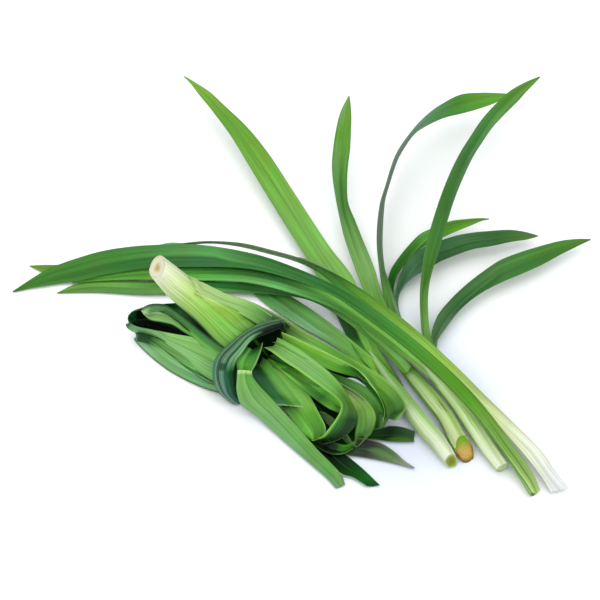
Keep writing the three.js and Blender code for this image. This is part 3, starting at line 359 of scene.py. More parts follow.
BUNDLE_POINTED_END = [
    (325, 428, 2, 316, 440, 2), (342, 434, 2, 334, 449, 2), (356, 438, 2, 348, 455, 2),
    (368, 439, 3, 362, 457, 2), (382, 443.5, 3, 377, 459.5, 2), (395, 452, 3, 391, 462.5, 2),
    (405, 461, 2, 403, 465.5, 2), (415, 467.6, 2, 414, 468.6, 2),
]
BUNDLE_SIDE_END = [
    (345, 420, 3, 340, 433, 3), (362, 425, 3, 360, 438, 3), (377, 429, 4, 375, 439, 3),
    (390, 426, 5, 389, 441, 3), (402, 427, 5, 400, 441.5, 3), (415, 431.5, 3.4, 414, 441.5, 2.6),
]
BUNDLE_LEFT_LOOP = [
    (240, 337, 36, 240, 360, 10), (205, 326, 36, 205, 349, 9), (180, 317, 36, 180, 338, 9),
    (160, 310, 35, 160, 332, 9), (147, 306.5, 34.5, 149, 330, 7.5), (138, 308.5, 32, 139.5, 328, 8),
    (131, 312, 29.5, 130, 325, 9.5), (127.5, 316.5, 27.5, 126.3, 324, 11.5),
    (128.6, 322.5, 26, 127.4, 327.5, 11.5), (136, 326.8, 25, 133.5, 331.5, 10.5),
    (152, 329.8, 24.5, 153, 338.5, 8), (175, 334, 27, 172, 352, 7), (200, 338.7, 31, 197, 371, 9),
    (220, 346.5, 36, 213, 381, 14), (234, 353, 36, 226, 384, 18),
]
BUNDLE_LOWER_LOOP = [
    (238, 376, 26, 238, 396, 6), (215, 384.5, 15, 217, 392.5, 3), (192, 372, 12, 194.5, 384.5, 1.5),
    (172, 356, 11, 171.5, 372.5, 1.5), (158, 345, 12, 156, 361.5, 1.5), (146, 338.5, 13, 144, 351, 1.5),
    (138, 334.5, 13.5, 136.5, 343, 1.6), (134.5, 333, 14, 133.5, 338.5, 3.6),
    (138, 332, 13.5, 138.5, 337.5, 5), (150, 334.5, 13.5, 151, 343, 4), (165, 341, 12, 166, 354, 2.4),
    (190, 355.5, 12, 192, 373, 2), (225, 372, 18, 225, 388, 3),
]
BUNDLE_STALK_SHADOW_LEAF = [
    (160, 304.3, 36, 162, 309, 33), (168, 303.6, 38, 169, 311, 33), (181, 303.5, 40, 178, 318, 33),
    (192, 311, 41, 187, 328, 33), (206, 326, 41, 203, 340, 33), (222, 341, 40, 220, 354, 32),
    (236, 352, 38, 236, 366, 30),
]
BUNDLE_UPPER_LOOP = [
    (240, 356, 40, 240, 370, 24), (218, 343.5, 42, 218, 357, 26), (200, 330.5, 44, 200, 344, 27),
    (185, 318, 45, 186, 331, 28), (170, 306.8, 45, 172, 320, 29), (160, 303.5, 44, 159, 314, 31),
    (149, 304.2, 42.5, 148, 311, 34), (141.3, 308.5, 41, 141.2, 310.5, 38),
    (143, 310.4, 40, 143.4, 314, 36.5), (152, 309.6, 39.5, 150, 319.5, 33.5),
    (164, 313, 38.5, 161, 321.8, 32), (176, 321, 37, 173, 325, 31), (186, 329.5, 35.5, 184, 332, 30.5),
    (200, 337, 33, 198, 340.5, 29), (230, 350, 33, 228, 357, 28),
]
TIE_ROUND = [
    (280, 319.5, 56, 284, 327, 55), (264, 322, 57.5, 267, 334, 55.5), (246, 330.5, 56.5, 252, 341, 54),
    (230, 343, 53, 243, 353, 50), (217, 356, 46, 237, 362, 43), (213, 370, 36, 234, 374, 33),
    (215, 385, 23, 235, 385, 21), (223, 396, 11, 237, 395, 10), (236, 404, 3, 246, 401, 3),
    (256, 394, 1.1, 268, 388, 1.1), (275, 366, 1.1, 289, 360, 1.1), (284, 346, 8, 298, 344, 8),
    (282, 330, 28, 292, 332, 28), (282, 321, 48, 287, 326, 47),
]
TIE_STRAP = [
    (263, 342.5, 48, 250, 341, 51), (261, 351, 48.5, 243, 351, 49.5), (256, 364, 45.5, 236.5, 362, 46),
    (252, 371, 42, 237.5, 370, 42), (252.5, 376, 39, 237, 377, 38), (260, 386, 33, 236.5, 390, 27),
    (270, 396.5, 26, 241, 404.5, 13), (283, 411, 19, 257, 417, 6), (297, 426, 11.5, 271, 429.5, 3),
    (309, 440, 7, 285, 442, 2), (319, 451, 4, 300, 455, 2), (330.5, 462.5, 3, 315, 468, 1.6),
    (341.5, 474.5, 2, 327, 478.5, 1.6), (345, 484.5, 1.6, 336, 488.5, 1.6),
]


# Places, rails and frames.
def at(u, v, z):
    """The place at height z that the viewer sees at (u, v) of the picture."""
    right, up = u - VIEW_MIDDLE, VIEW_MIDDLE - v
    ray = np.array([right, up * SIN + VIEW_FOCAL * COS, up * COS - VIEW_FOCAL * SIN])
    return EYE + ray * (z - EYE[2]) / ray[2]


def lengths(points):
    """Distance along a row of points up to each of them."""
    steps = np.linalg.norm(np.diff(points, axis=0), axis=1)
    return np.concatenate([[0], np.cumsum(steps)])


def through(points, knots, places):
    """Smooth interpolation through points at the given knots, for several places at once."""
    last = len(points) - 1
    index = np.arange(last + 1)
    before, after = np.maximum(index - 1, 0), np.minimum(index + 1, last)
    slopes = (points[after] - points[before]) / (knots[after] - knots[before])[:, None]
    i = np.clip(np.searchsorted(knots, places) - 1, 0, last - 1)
    span = (knots[i + 1] - knots[i])[:, None]
    t = (places - knots[i])[:, None] / span
    return (
        points[i] * (2 * t**3 - 3 * t**2 + 1)
        + slopes[i] * (t**3 - 2 * t**2 + t) * span
        + points[i + 1] * (3 * t**2 - 2 * t**3)
        + slopes[i + 1] * (t**3 - t**2) * span
    )


def unit(vectors):
    """Vectors scaled to length one."""
    return vectors / np.maximum(np.linalg.norm(vectors, axis=-1, keepdims=True), 1e-9)


def rails(route):
    """Left and right edge points of a route, and the length along their middle."""
    left = np.array([at(*row[:3]) for row in route])
    right = np.array([at(*row[3:]) for row in route])
    return left, right, lengths((left + right) / 2)


def frames(route, places):
    """Edges, direction across, upward direction and apparent width of a blade at some places."""
    left, right, knots = rails(route)
    middle = (left + right) / 2
    near = through(middle, knots, np.maximum(places - 1, 0))
    far = through(middle, knots, np.minimum(places + 1, knots[-1]))
    along = unit(far - near)
    left, right = through(left, knots, places), through(right, knots, places)
    up = np.cross(right - left, along)
    wide = np.linalg.norm(up, axis=1)
    return left, right, unit(right - left), unit(up), wide


# Meshes.
def quads(*corners):
    """Four-sided faces from four arrays of vertex numbers."""
    return np.stack(corners, -1).reshape(-1, 4)


def add_piece(name, vertices, faces, uvs, slots, materials):
    """A smooth-shaded mesh object in metres, with a UV for every vertex and a slot for every face."""
    mesh = bpy.data.meshes.new(name)
    mesh.from_pydata((np.asarray(vertices) * MM).tolist(), [], faces)
    corners = np.zeros(len(mesh.loops), np.int32)
    mesh.loops.foreach_get("vertex_index", corners)
    layer = mesh.uv_layers.new(name="UVMap")
    layer.data.foreach_set("uv", np.asarray(uvs, np.float32)[corners].ravel())
    for material in materials:
        mesh.materials.append(material)
    mesh.polygons.foreach_set("material_index", slots)
    mesh.polygons.foreach_set("use_smooth", [True] * len(faces))
    mesh.update()
    mesh.set_sharp_from_angle(angle=SHARP_ANGLE)
    piece = bpy.data.objects.new(name, mesh)
    bpy.context.scene.collection.objects.link(piece)
    return piece


def settle(piece, node):
    """Rides the piece on the only body, in place of its CAD node."""
    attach(piece, "root")
    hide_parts(node)


def sheet_faces(rows, columns):
    """Faces of a closed sheet: upper grid, lower grid, both sides and both ends."""
    size = (rows + 1) * (columns + 1)
    grid = np.arange(size).reshape(rows + 1, columns + 1)
    under = grid + size
    upper = quads(grid[:-1, :-1], grid[:-1, 1:], grid[1:, 1:], grid[1:, :-1])
    rim = [
        quads(grid[:-1, 0], grid[1:, 0], under[1:, 0], under[:-1, 0]),
        quads(grid[1:, -1], grid[:-1, -1], under[:-1, -1], under[1:, -1]),
        quads(grid[0, :-1], under[0, :-1], under[0, 1:], grid[0, 1:]),
        quads(grid[-1, 1:], under[-1, 1:], under[-1, :-1], grid[-1, :-1]),
    ]
    faces = np.concatenate([upper, upper[:, ::-1] + size, *rim])
    slots = [0] * len(upper) + [1] * (len(faces) - len(upper))
    return faces.tolist(), slots


def grid_normals(grid):
    """Normals of a grid of points, rows along the blade and columns across it."""
    return unit(np.cross(np.gradient(grid, axis=1), np.gradient(grid, axis=0)))


def fold_profile(share, hollow):
    """Height across a folded blade, -1 at the keel and 0 at the edges: V shaped or hollow."""
    rise = np.sqrt(share**2 + KEEL_ROUND**2) - KEEL_ROUND
    sharp = rise / (math.hypot(1, KEEL_ROUND) - KEEL_ROUND)
    return (1 - hollow) * (sharp - 1) + hollow * (share**2 - 1)


def blade_grid(route, width, shape):
    """The middle surface of a blade, following its route of left and right edge places."""
    _, _, knots = rails(route)
    length = knots[-1]
    rows = max(FEWEST_BLADE_ROWS, round(length / shape["step"]))
    s = length * np.linspace(0, 1, rows + 1)
    left, right, flat, up, wide = frames(route, s)
    middle = (left + right) / 2
    taper = np.ones_like(s)
    if shape["taper_end"]:
        taper = np.minimum(1, ((length - s) / (TIP_SHARE * length)) ** TIP_ROUNDNESS)
    deep = np.sqrt(np.maximum(0, (width * taper) ** 2 - wide**2)) / 2
    deep = np.minimum(deep, DEEPEST_FOLD * wide)
    deep = np.maximum(deep, shape["least_fold"] * wide)
    room = np.maximum(0, (middle[:, 2] - BLADE_MIDDLE) / np.maximum(up[:, 2], STEEPEST_BLADE))
    deep = -deep if shape["keel_up"] else np.minimum(deep, room)
    a = np.linspace(-1, 1, shape["columns"] + 1)
    start, end = shape["hollow"]
    hollow = start + (end - start) * (s / length)
    height = deep[:, None] * fold_profile(np.abs(a)[None, :], hollow[:, None])
    height = height + shape["bulge"] * wide[:, None] / 2 * np.sin(np.pi * np.abs(a))[None, :]
    pleats = np.cos(np.pi * shape["pleats"] * a + shape["phase"])
    height = height + shape["pleat"] * (pleats * (1 - a**2))[None, :]
    sway = np.sin(s / shape["wave"] + shape["phase"])
    sway = sway + SECOND_SWAY * np.sin(s / shape["wave"] * SECOND_WAVE)
    lean = np.where(a < 0, sway[:, None], -np.roll(sway, SWAY_SHIFT)[:, None])
    height = height + shape["ripple"] * lean * (a**4)[None, :] * taper[:, None]
    half = np.linalg.norm(right - left, axis=1) / 2
    across = a[None, :] * half[:, None]
    grid = middle[:, None] + across[..., None] * flat[:, None] + height[..., None] * up[:, None]
    return grid, s, taper


def blade(name, node, route, width, look, **options):
    """A leaf blade as one closed piece that stands for a CAD node."""
    shape = {**SHAPE, "phase": len(bpy.data.meshes) * PHASE_STEP, **options}
    grid, s, taper = blade_grid(route, width, shape)
    normals = grid_normals(grid)
    a = np.linspace(-1, 1, shape["columns"] + 1)
    thick = BLADE_EDGE + (BLADE_MIDDLE - BLADE_EDGE) * (1 - np.abs(a)) ** EDGE_THINNING
    thick = thick[None, :] * (TIP_THICKNESS + (1 - TIP_THICKNESS) * np.sqrt(taper))[:, None]
    upper = grid + normals * thick[..., None] / 2
    lower = grid - normals * thick[..., None] / 2
    sunk = np.maximum(0, TABLE_GAP - np.minimum(upper[..., 2], lower[..., 2]))
    upper[..., 2] += sunk
    lower[..., 2] += sunk
    faces, slots = sheet_faces(len(s) - 1, shape["columns"])
    uv = np.stack(np.meshgrid((a + 1) / 2, s / s[-1]), -1).reshape(-1, 2)
    vertices = np.concatenate([upper.reshape(-1, 3), lower.reshape(-1, 3)])
    materials = leaf_sides(name, look, s[-1])
    piece = add_piece(name, vertices, faces, np.concatenate([uv, uv]), slots, materials)
    settle(piece, node)


def stalk(name, node, route, flat, look, cut_look, cut=None, sheaths=()):
    """A stalk of wrapped leaf bases, cut at its first end, with one ridge for each sheath edge."""
    centres = np.array([at(*row[:3]) for row in route])
    knots = lengths(centres)
    rows = max(FEWEST_STALK_ROWS, round(knots[-1] / STALK_STEP))
    s = knots[-1] * np.linspace(0, 1, rows + 1)
    radii = through(np.array([[row[3]] for row in route], float), knots, s)[:, 0]
    middle = through(centres, knots, s)
    along = unit(np.gradient(middle, axis=0))
    side = unit(np.cross(np.array([0, 0, 1.0]), along))
    up = np.cross(along, side)
    turn = 2 * np.pi * np.arange(STALK_SIDES) / STALK_SIDES
    swell = np.ones((rows + 1, STALK_SIDES))
    for start, twist, high in sheaths:
        lap = np.mod(turn[None, :] - start - twist * (s / s[-1])[:, None], 2 * np.pi) / (2 * np.pi)
        swell += high * (lap**3 - MEAN_LAP)
    out = (
        side[:, None] * (np.cos(turn)[None, :] * radii[:, None] * swell)[..., None]
        + up[:, None] * (np.sin(turn)[None, :] * radii[:, None] * swell * flat)[..., None]
    )
    slope = along[0] if cut is None else np.array(cut)
    fade = np.clip(1 - s / CUT_REACH, 0, 1)[:, None] ** 2
    slide = -(out @ slope) / (along @ slope)[:, None] * fade
    skin = middle[:, None] + out + along[:, None] * slide[..., None]
    skin[..., 2] = np.maximum(skin[..., 2], TABLE_GAP)
    vertices = [skin.reshape(-1, 3)]
    uvs = [np.stack(np.meshgrid(turn / (2 * np.pi), s / s[-1]), -1).reshape(-1, 2)]
    grid = np.arange((rows + 1) * STALK_SIDES).reshape(rows + 1, STALK_SIDES)
    beside = np.roll(grid, -1, axis=1)
    faces = quads(grid[:-1], beside[:-1], beside[1:], grid[1:]).tolist()
    slots = [0] * len(faces)
    count = grid.size
    ring = grid[0]
    for scale, sink in CUT_RINGS:
        vertices.append(middle[0] + (skin[0] - middle[0]) * scale + along[0] * sink * radii[0])
        uvs.append(0.5 + 0.5 * scale * np.stack([np.cos(turn), np.sin(turn)], -1))
        inner = count + np.arange(STALK_SIDES)
        faces += quads(ring, inner, np.roll(inner, -1), np.roll(ring, -1)).tolist()
        slots += [1] * STALK_SIDES
        count += STALK_SIDES
        ring = inner
    caps = (
        (np.roll(ring, -1), ring, middle[0] + along[0] * CUT_RINGS[-1][1] * radii[0]),
        (grid[-1], np.roll(grid[-1], -1), middle[-1]),
    )
    for first, second, centre in caps:
        vertices.append(centre[None])
        uvs.append(np.array([[0.5, 0.5]]))
        faces += [[int(p), int(q), count] for p, q in zip(first, second)]
        slots += [1] * STALK_SIDES
        count += 1
    materials = [leaf_material(name, look, s[-1]), cut_material(name + "_cut", cut_look)]
    piece = add_piece(name, np.concatenate(vertices), faces, np.concatenate(uvs), slots, materials)
    settle(piece, node)


# Materials.
class Surface:
    """A material's node tree with short ways to add and link nodes."""

    def __init__(self, name):
        self.material = bpy.data.materials.new(name)
        self.material.use_nodes = True
        self.tree = self.material.node_tree
        self.tree.nodes.clear()
        output = self.tree.nodes.new("ShaderNodeOutputMaterial")
        self.shader = self.tree.nodes.new("ShaderNodeBsdfPrincipled")
        self.tree.links.new(self.shader.outputs["BSDF"], output.inputs["Surface"])

    def add(self, kind, inputs=None, **settings):
        """A node with the given settings; its inputs are sockets or plain values."""
        node = self.tree.nodes.new("ShaderNode" + kind)
        for key, value in settings.items():
            setattr(node, key, value)
        for key, value in (inputs or {}).items():
            self.put(node, key, value)
        return node

    def put(self, node, key, value):
        """Sets one input from a socket or a plain value."""
        if isinstance(value, bpy.types.NodeSocket):
            self.tree.links.new(value, node.inputs[key])
        else:
            node.inputs[key].default_value = value

    def finish(self, colour, shine, roughness, height=None, strength=0.0, depth=0.0):
        """Connects the surface's colour, gloss and relief."""
        self.put(self.shader, "Base Color", colour)
        self.put(self.shader, "Specular IOR Level", shine)
        self.put(self.shader, "Roughness", roughness)
        if height is not None:
            bump = self.add("Bump", {"Height": height, "Strength": strength, "Distance": depth})
            self.put(self.shader, "Normal", bump.outputs[0])
        return self.material

    def math(self, operation, a, b=0.0, c=0.0):
        """The result of one sum."""
        return self.add("Math", {0: a, 1: b, 2: c}, operation=operation).outputs[0]

    def spread(self, value, low, high, to_low, to_high):
        """A value carried from one range to another, smoothly and with clamped ends."""
        inputs = {"Value": value, 1: low, 2: high, 3: to_low, 4: to_high}
        return self.add("MapRange", inputs, interpolation_type="SMOOTHSTEP").outputs[0]

    def ramp(self, value, shades):
        """The colour of a value on a ramp of (place, tone) stops."""
        node = self.add("ValToRGB", {"Fac": value})
        band = node.color_ramp
        (start, first), *between, (end, last) = shades
        band.elements[0].position, band.elements[1].position = start, end
        band.elements[0].color, band.elements[1].color = tone(*first), tone(*last)
        for place, shade in between:
            band.elements.new(place).color = tone(*shade)
        return node.outputs["Color"]

    def noise(self, vector, scale, detail=2.0, roughness=0.5):
        """A smooth random value round 0.5."""
        inputs = {"Vector": vector, "Scale": scale, "Detail": detail, "Roughness": roughness}
        return self.add("TexNoise", inputs).outputs["Fac"]

    def streaks(self, across, metric, fine, long, roughness, seed):
        """Streaks that run along a blade."""
        u, v = self.math("MULTIPLY", across, fine), self.math("MULTIPLY", metric, long)
        place = self.add("CombineXYZ", {"X": u, "Y": v, "Z": seed}).outputs[0]
        return self.noise(place, 1.0, 2.0, roughness)

    def mix(self, factor, first, second):
        """A mix of two colours."""
        node = self.add("Mix", {"Factor": factor}, data_type="RGBA")
        self.put(node, 6, first)
        self.put(node, 7, second)
        return node.outputs[2]

    def position(self):
        """The place of the shaded point."""
        return self.add("NewGeometry").outputs["Position"]


def tone(r, g, b):
    """A surface colour for a tone of the picture, from 0 to 255, under this scene's light."""
    shown = np.array([r, g, b]) / 255
    linear = np.where(shown <= 0.04045, shown / 12.92, ((shown + 0.055) / 1.055) ** 2.4)
    return (*np.clip(linear * EXPOSURE, 0, 0.95), 1.0)


def leaf_material(name, look, length, under=False):
    """Satin leaf: colour along each half, lines, edges, patches, veins and soft mottling; halves, edges,
    lines and patches also carry painted light and shade.
    """
    surface = Surface(name)
    seed = float(len(bpy.data.materials))
    uv = surface.add("SeparateXYZ", {0: surface.add("UVMap", uv_map="UVMap").outputs[0]})
    across, along = uv.outputs[0], uv.outputs[1]
    metric = surface.math("MULTIPLY", along, length * MM)
    colour = surface.ramp(along, look["stops"])
    # Painted light and shade: the right half has its own stops, lighter or darker than the left as the
    # fold's two sides face the light differently.
    if "right" in look:
        other = surface.ramp(along, look["right"])
        middle, soft = look.get("split", HALVES_MEET)
        factor = surface.spread(across, middle - soft, middle + soft, 0.0, 1.0)
        colour = surface.mix(factor, colour, other)
    if under:
        share = look.get("under_share", UNDER_SHARE)
        colour = surface.mix(share, colour, tone(*look.get("under", UNDER_TONE)))
    broad_streak = surface.streaks(across, metric, *BROAD_STREAKS, seed)
    fine_streak = surface.streaks(across, metric, *FINE_STREAKS, seed)
    mottle = surface.noise(surface.position(), *MOTTLE)
    # Painted light and shade: one half of the blade made brighter than the other.
    left, right = look.get("halves", (1.0, 1.0))
    value = surface.spread(across, *HALVES_SHADE, left, right)
    for pattern, change in (
        (broad_streak, BROAD_CHANGE), (fine_streak, FINE_CHANGE), (mottle, MOTTLE_CHANGE)
    ):
        value = surface.math("MULTIPLY", value, surface.spread(pattern, *change))
    hue = surface.spread(mottle, *HUE_CHANGE)
    colour = surface.add("HueSaturation", {"Color": colour, "Hue": hue, "Value": value}).outputs[0]
    # Lines along the blade: the rib, and on some pieces painted highlights.
    for middle, width, shade, strength in look.get("lines", RIB_LINES):
        off = surface.math("ABSOLUTE", surface.math("SUBTRACT", across, middle))
        factor = surface.spread(off, 0.0, width, strength, 0.0)
        colour = surface.mix(factor, colour, tone(*shade))
    # Edge bands: the leaf's own edge colour, and on some pieces painted shade in a gap along an edge, or a
    # painted highlight.
    shade, strength, width = look.get("left_edge", EDGE)
    factor = surface.spread(across, 0.0, width, strength, 0.0)
    colour = surface.mix(factor, colour, tone(*shade))
    shade, strength, width = look.get("right_edge", EDGE)
    factor = surface.spread(across, 1 - width, 1.0, 0.0, strength)
    colour = surface.mix(factor, colour, tone(*shade))
    # Patches: the leaf's own marks, and on some pieces painted shadows and highlights.
    for u, v, wide, long, shade, strength in look.get("patches", ()):
        off_u = surface.math("MULTIPLY_ADD", across, 1 / wide, -u / wide)
        off_v = surface.math("MULTIPLY_ADD", along, 1 / long, -v / long)
        reach = surface.math("MULTIPLY_ADD", off_u, off_u, surface.math("MULTIPLY", off_v, off_v))
        factor = surface.spread(reach, PATCH_MIDDLE, 1.0, strength, 0.0)
        colour = surface.mix(factor, colour, tone(*shade))
    shine = look.get("under_shine", SHINE) if under else look.get("shine", SHINE)
    roughness = surface.spread(fine_streak, *LEAF_ROUGHNESS)
    ridges = surface.math("MULTIPLY_ADD", broad_streak, BROAD_RELIEF, fine_streak)
    return surface.finish(colour, shine, roughness, ridges, *LEAF_RELIEF)


def leaf_sides(name, look, length):
    """The materials of a leaf's upper side and of its underside and edges."""
    return [leaf_material(name, look, length), leaf_material(name + "_under", look, length, True)]


def cut_material(name, look):
    """A cut end: rings of leaf bases round a coloured middle, with a rim and a tinted upper side."""
    surface = Surface(name)
    uv = surface.add("UVMap", uv_map="UVMap").outputs[0]
    centred = surface.add("VectorMath", {0: uv, 1: (0.5, 0.5, 0.0)}, operation="SUBTRACT").outputs[0]
    reach = surface.add("VectorMath", {0: centred}, operation="LENGTH").outputs["Value"]
    reach = surface.math("MULTIPLY", reach, 2.0)
    wobble = surface.noise(uv, *RING_NOISE)
    reach = surface.math("ADD", reach, surface.spread(wobble, *RING_WOBBLE))
    colour = surface.ramp(reach, look["rings"])
    height = surface.add("SeparateXYZ", {0: uv}).outputs[1]
    shade, low, high = look["top"]
    colour = surface.mix(surface.spread(height, low, high, 0.0, CUT_TINT), colour, tone(*shade))
    grain = surface.noise(uv, *CUT_GRAIN)
    value = surface.spread(grain, *GRAIN_CHANGE)
    colour = surface.add("HueSaturation", {"Color": colour, "Value": value}).outputs[0]
    rings = surface.math("SINE", surface.math("MULTIPLY", reach, RING_DENSITY))
    height = surface.math("ADD", rings, grain)
    return surface.finish(colour, SHINE, CUT_ROUGHNESS, height, *CUT_RELIEF)


def floor_material():
    """A matte pale surface with a painted soft bluish shadow, darkest round a point near the stalks."""
    surface = Surface("floor")
    inputs = {0: surface.position(), 1: FLOOR_SHADOW_CENTRE}
    reach = surface.add("VectorMath", inputs, operation="DISTANCE").outputs["Value"]
    colour = surface.mix(surface.spread(reach, *FLOOR_SHADOW_REACH, 0.0, 1.0), FLOOR_SHADOW_TONE, FLOOR_FAR)
    return surface.finish(colour, FLOOR_SHINE, FLOOR_ROUGHNESS)


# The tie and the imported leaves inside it.
def tie_loop(count):
    """Left and right places at even steps round the tie, and its centre."""
    wrapped = TIE_ROUND[-2:] + TIE_ROUND + TIE_ROUND[:3]
    left, right, knots = rails(wrapped)
    places = np.linspace(knots[2], knots[2 + len(TIE_ROUND)], count, endpoint=False)
    left, right = through(left, knots, places), through(right, knots, places)
    return left, right, ((left + right) / 2).mean(axis=0)


def tie_strand(name, first, last, high, wander, look):
    """One strand of the tie: a closed, crowned band between two shares of the tie's width."""
    left, right, centre = tie_loop(TIE_ROWS)
    turn = 2 * np.pi * np.arange(TIE_ROWS) / TIE_ROWS
    low = first + wander * np.sin(turn * WANDER_WAVES + first * WANDER_SHIFT)
    top = last + wander * np.sin(turn * WANDER_WAVES + last * WANDER_SHIFT)
    a = np.linspace(0, 1, TIE_COLUMNS + 1)
    share = low[:, None] + (top - low)[:, None] * a[None, :]
    base = left[:, None] + (right - left)[:, None] * share[..., None]
    outward = unit((left + right) / 2 - centre)[:, None]
    crown = high * (STRAND_SHOULDER + (1 - STRAND_SHOULDER) * np.sin(np.pi * a) ** STRAND_ROUNDNESS)
    uneven = np.sin(turn * UNEVEN_WAVES + first * UNEVEN_SHIFT)
    crown = crown[None, :] * (1 + STRAND_UNEVENNESS * uneven)[:, None]
    crown = crown + STRAND_RIDGE * np.sin(a * RIDGE_WAVES)[None, :]
    outer = base + outward * crown[..., None]
    inner = base + outward * STRAND_LIFT
    size = TIE_ROWS * (TIE_COLUMNS + 1)
    grid = np.arange(size).reshape(TIE_ROWS, TIE_COLUMNS + 1)
    ahead = np.roll(grid, -1, axis=0)
    upper = quads(grid[:, :-1], grid[:, 1:], ahead[:, 1:], ahead[:, :-1])
    rim = [
        quads(grid[:, 0], ahead[:, 0], ahead[:, 0] + size, grid[:, 0] + size),
        quads(ahead[:, -1], grid[:, -1], grid[:, -1] + size, ahead[:, -1] + size),
    ]
    faces = np.concatenate([upper, upper[:, ::-1] + size, *rim])
    slots = [0] * len(upper) + [1] * (len(faces) - len(upper))
    vertices = np.concatenate([outer.reshape(-1, 3), inner.reshape(-1, 3)])
    vertices[:, 2] = np.maximum(vertices[:, 2], TABLE_GAP)
    uv = np.stack(np.meshgrid(a, turn / (2 * np.pi)), -1).reshape(-1, 2)
    materials = leaf_sides(name, look, lengths((left + right) / 2)[-1])
    piece = add_piece(name, vertices, faces.tolist(), np.concatenate([uv, uv]), slots, materials)
    settle(piece, "tie_leaf")


def packed_core(look):
    """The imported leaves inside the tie: a fluted spindle."""
    left, right, centre = tie_loop(CORE_SIDES)
    ring = (left + right) / 2 - centre
    turn = 2 * np.pi * np.arange(CORE_SIDES) / CORE_SIDES
    shifts, scales = np.array(CORE_SCALES, float).T
    s = np.linspace(shifts[0], shifts[-1], CORE_ROWS + 1)
    scale = np.interp(s, shifts, scales)[:, None]
    waves = np.sin(turn * CORE_FLUTES + FLUTE_SHIFT * np.sin(turn * FLUTE_SHIFTS))
    flute = 1 - CORE_FLUTE * (0.5 + 0.5 * waves)[None, :]
    skin = centre + ring[None] * (scale * flute)[..., None] + s[:, None, None] * BUNDLE_AXIS
    skin[..., 2] = np.maximum(skin[..., 2], TABLE_GAP)
    grid = np.arange(skin[..., 0].size).reshape(CORE_ROWS + 1, CORE_SIDES)
    beside = np.roll(grid, -1, axis=1)
    faces = quads(grid[:-1], beside[:-1], beside[1:], grid[1:]).tolist()
    faces += [grid[0][::-1].tolist(), grid[-1].tolist()]
    share, places = np.meshgrid(turn / (2 * np.pi), np.linspace(0, 1, CORE_ROWS + 1))
    uv = np.stack([share * CORE_REPEATS, places], -1).reshape(-1, 2)
    materials = [leaf_material("bundle_core", look, float(shifts[-1] - shifts[0]))]
    piece = add_piece("bundle_core", skin.reshape(-1, 3), faces, uv, [0] * len(faces), materials)
    settle(piece, "bundle")


# Camera, floor and light.
def add_camera():
    """The camera at the photograph's viewing angle."""
    data = bpy.data.cameras.new("camera")
    data.lens, data.sensor_width = LENS_MM, SENSOR_MM
    camera = bpy.data.objects.new("camera", data)
    bpy.context.scene.collection.objects.link(camera)
    camera.location = Vector(EYE) * MM
    look = Vector((*AIM, 0)) * MM - camera.location
    camera.rotation_mode = "QUATERNION"
    camera.rotation_quaternion = look.to_track_quat("-Z", "Y")
    data.clip_start, data.clip_end = 0.05, 50
    bpy.context.scene.camera = camera


def add_floor():
    """A pale floor with a painted soft shadow near the stalks."""
    mesh = bpy.data.meshes.new("floor")
    r = FLOOR_REACH
    mesh.from_pydata([(-r, -r, 0), (r, -r, 0), (r, r, 0), (-r, r, 0)], [], [(0, 1, 2, 3)])
    mesh.materials.append(floor_material())
    floor = bpy.data.objects.new("floor", mesh)
    bpy.context.scene.collection.objects.link(floor)


def add_light(name, place, size, power, colour):
    """A soft square light that faces the middle of the object."""
    data = bpy.data.lights.new(name, "AREA")
    data.size, data.energy, data.color = size, power, colour
    lamp = bpy.data.objects.new(name, data)
    lamp.location = place
    lamp.rotation_mode = "QUATERNION"
    lamp.rotation_quaternion = (Vector(LIGHT_TARGET) - Vector(place)).to_track_quat("-Z", "Y")
    bpy.context.scene.collection.objects.link(lamp)


def add_sky():
    """Even pale light from all round."""
    world = bpy.data.worlds.new("sky")
    world.use_nodes = True
    back = world.node_tree.nodes["Background"]
    back.inputs["Color"].default_value = SKY_COLOUR
    back.inputs["Strength"].default_value = SKY_STRENGTH
    bpy.context.scene.world = world
    bpy.context.scene.view_settings.view_transform = "Standard"


# Looks. Besides the leaves' own colours, the colour stops carry painted light and shade: shaded parts
# painted darker, lit parts painted lighter.
def sixths(*tones):
    """Colour stops at every sixth of a blade."""
    return zip((0, 0.17, 0.33, 0.5, 0.67, 0.83, 1), tones)


def evenly(*tones):
    """Evenly spaced colour stops from one end to the other."""
    last = len(tones) - 1
    return [(i / last, shade) for i, shade in enumerate(tones)]


def marks(*places, right=(), **others):
    """A leaf's look: colour stops of its left half or of all of it, of its right half, and the rest; the
    two halves' stops differ largely by painted light and shade on the fold's two sides.
    """
    halves = {"right": [*right]} if right else {}
    return {"stops": [*places], **halves, **others}


def bark(*tones, **others):
    """A stalk's look: even colour stops along it, with no edges or rib."""
    return marks(*evenly(*tones), **{"left_edge": NO_EDGE, "right_edge": NO_EDGE, "lines": (), **others})


def cut_end(*tones, top=((255, 255, 255), 2.0, 3.0)):
    """The look of a cut end: rings from the middle outwards and a tint that grows between two heights."""
    return {"rings": evenly(*tones), "top": top}


def bundle_blade(name, route, width, look, shape=PRESSED, **options):
    """One leaf of the folded bundle."""
    blade("bundle_" + name, "bundle", route, width, look, **{**shape, **options})


def strand(name, first, last, high, wander, *places, **others):
    """One strand of the tie with its own stops round the ring, a painted highlight along it and painted
    shade in the gaps at its edges.
    """
    edges = {"lines": (STRAND_HIGHLIGHT,), "left_edge": STRAND_GAP_SHADE, "right_edge": STRAND_GAP_SHADE}
    tie_strand("tie_strand_" + name, first, last, high, wander, marks(*places, **{**edges, **others}))


add_camera()
add_floor()
add_sky()
add_light("key", (-0.4, 0.35, 1.5), 2.2, 10.5, (1.0, 0.98, 0.93))
add_light("fill", (0.15, -0.9, 1.3), 2.0, 11.5, (1.0, 0.98, 0.94))

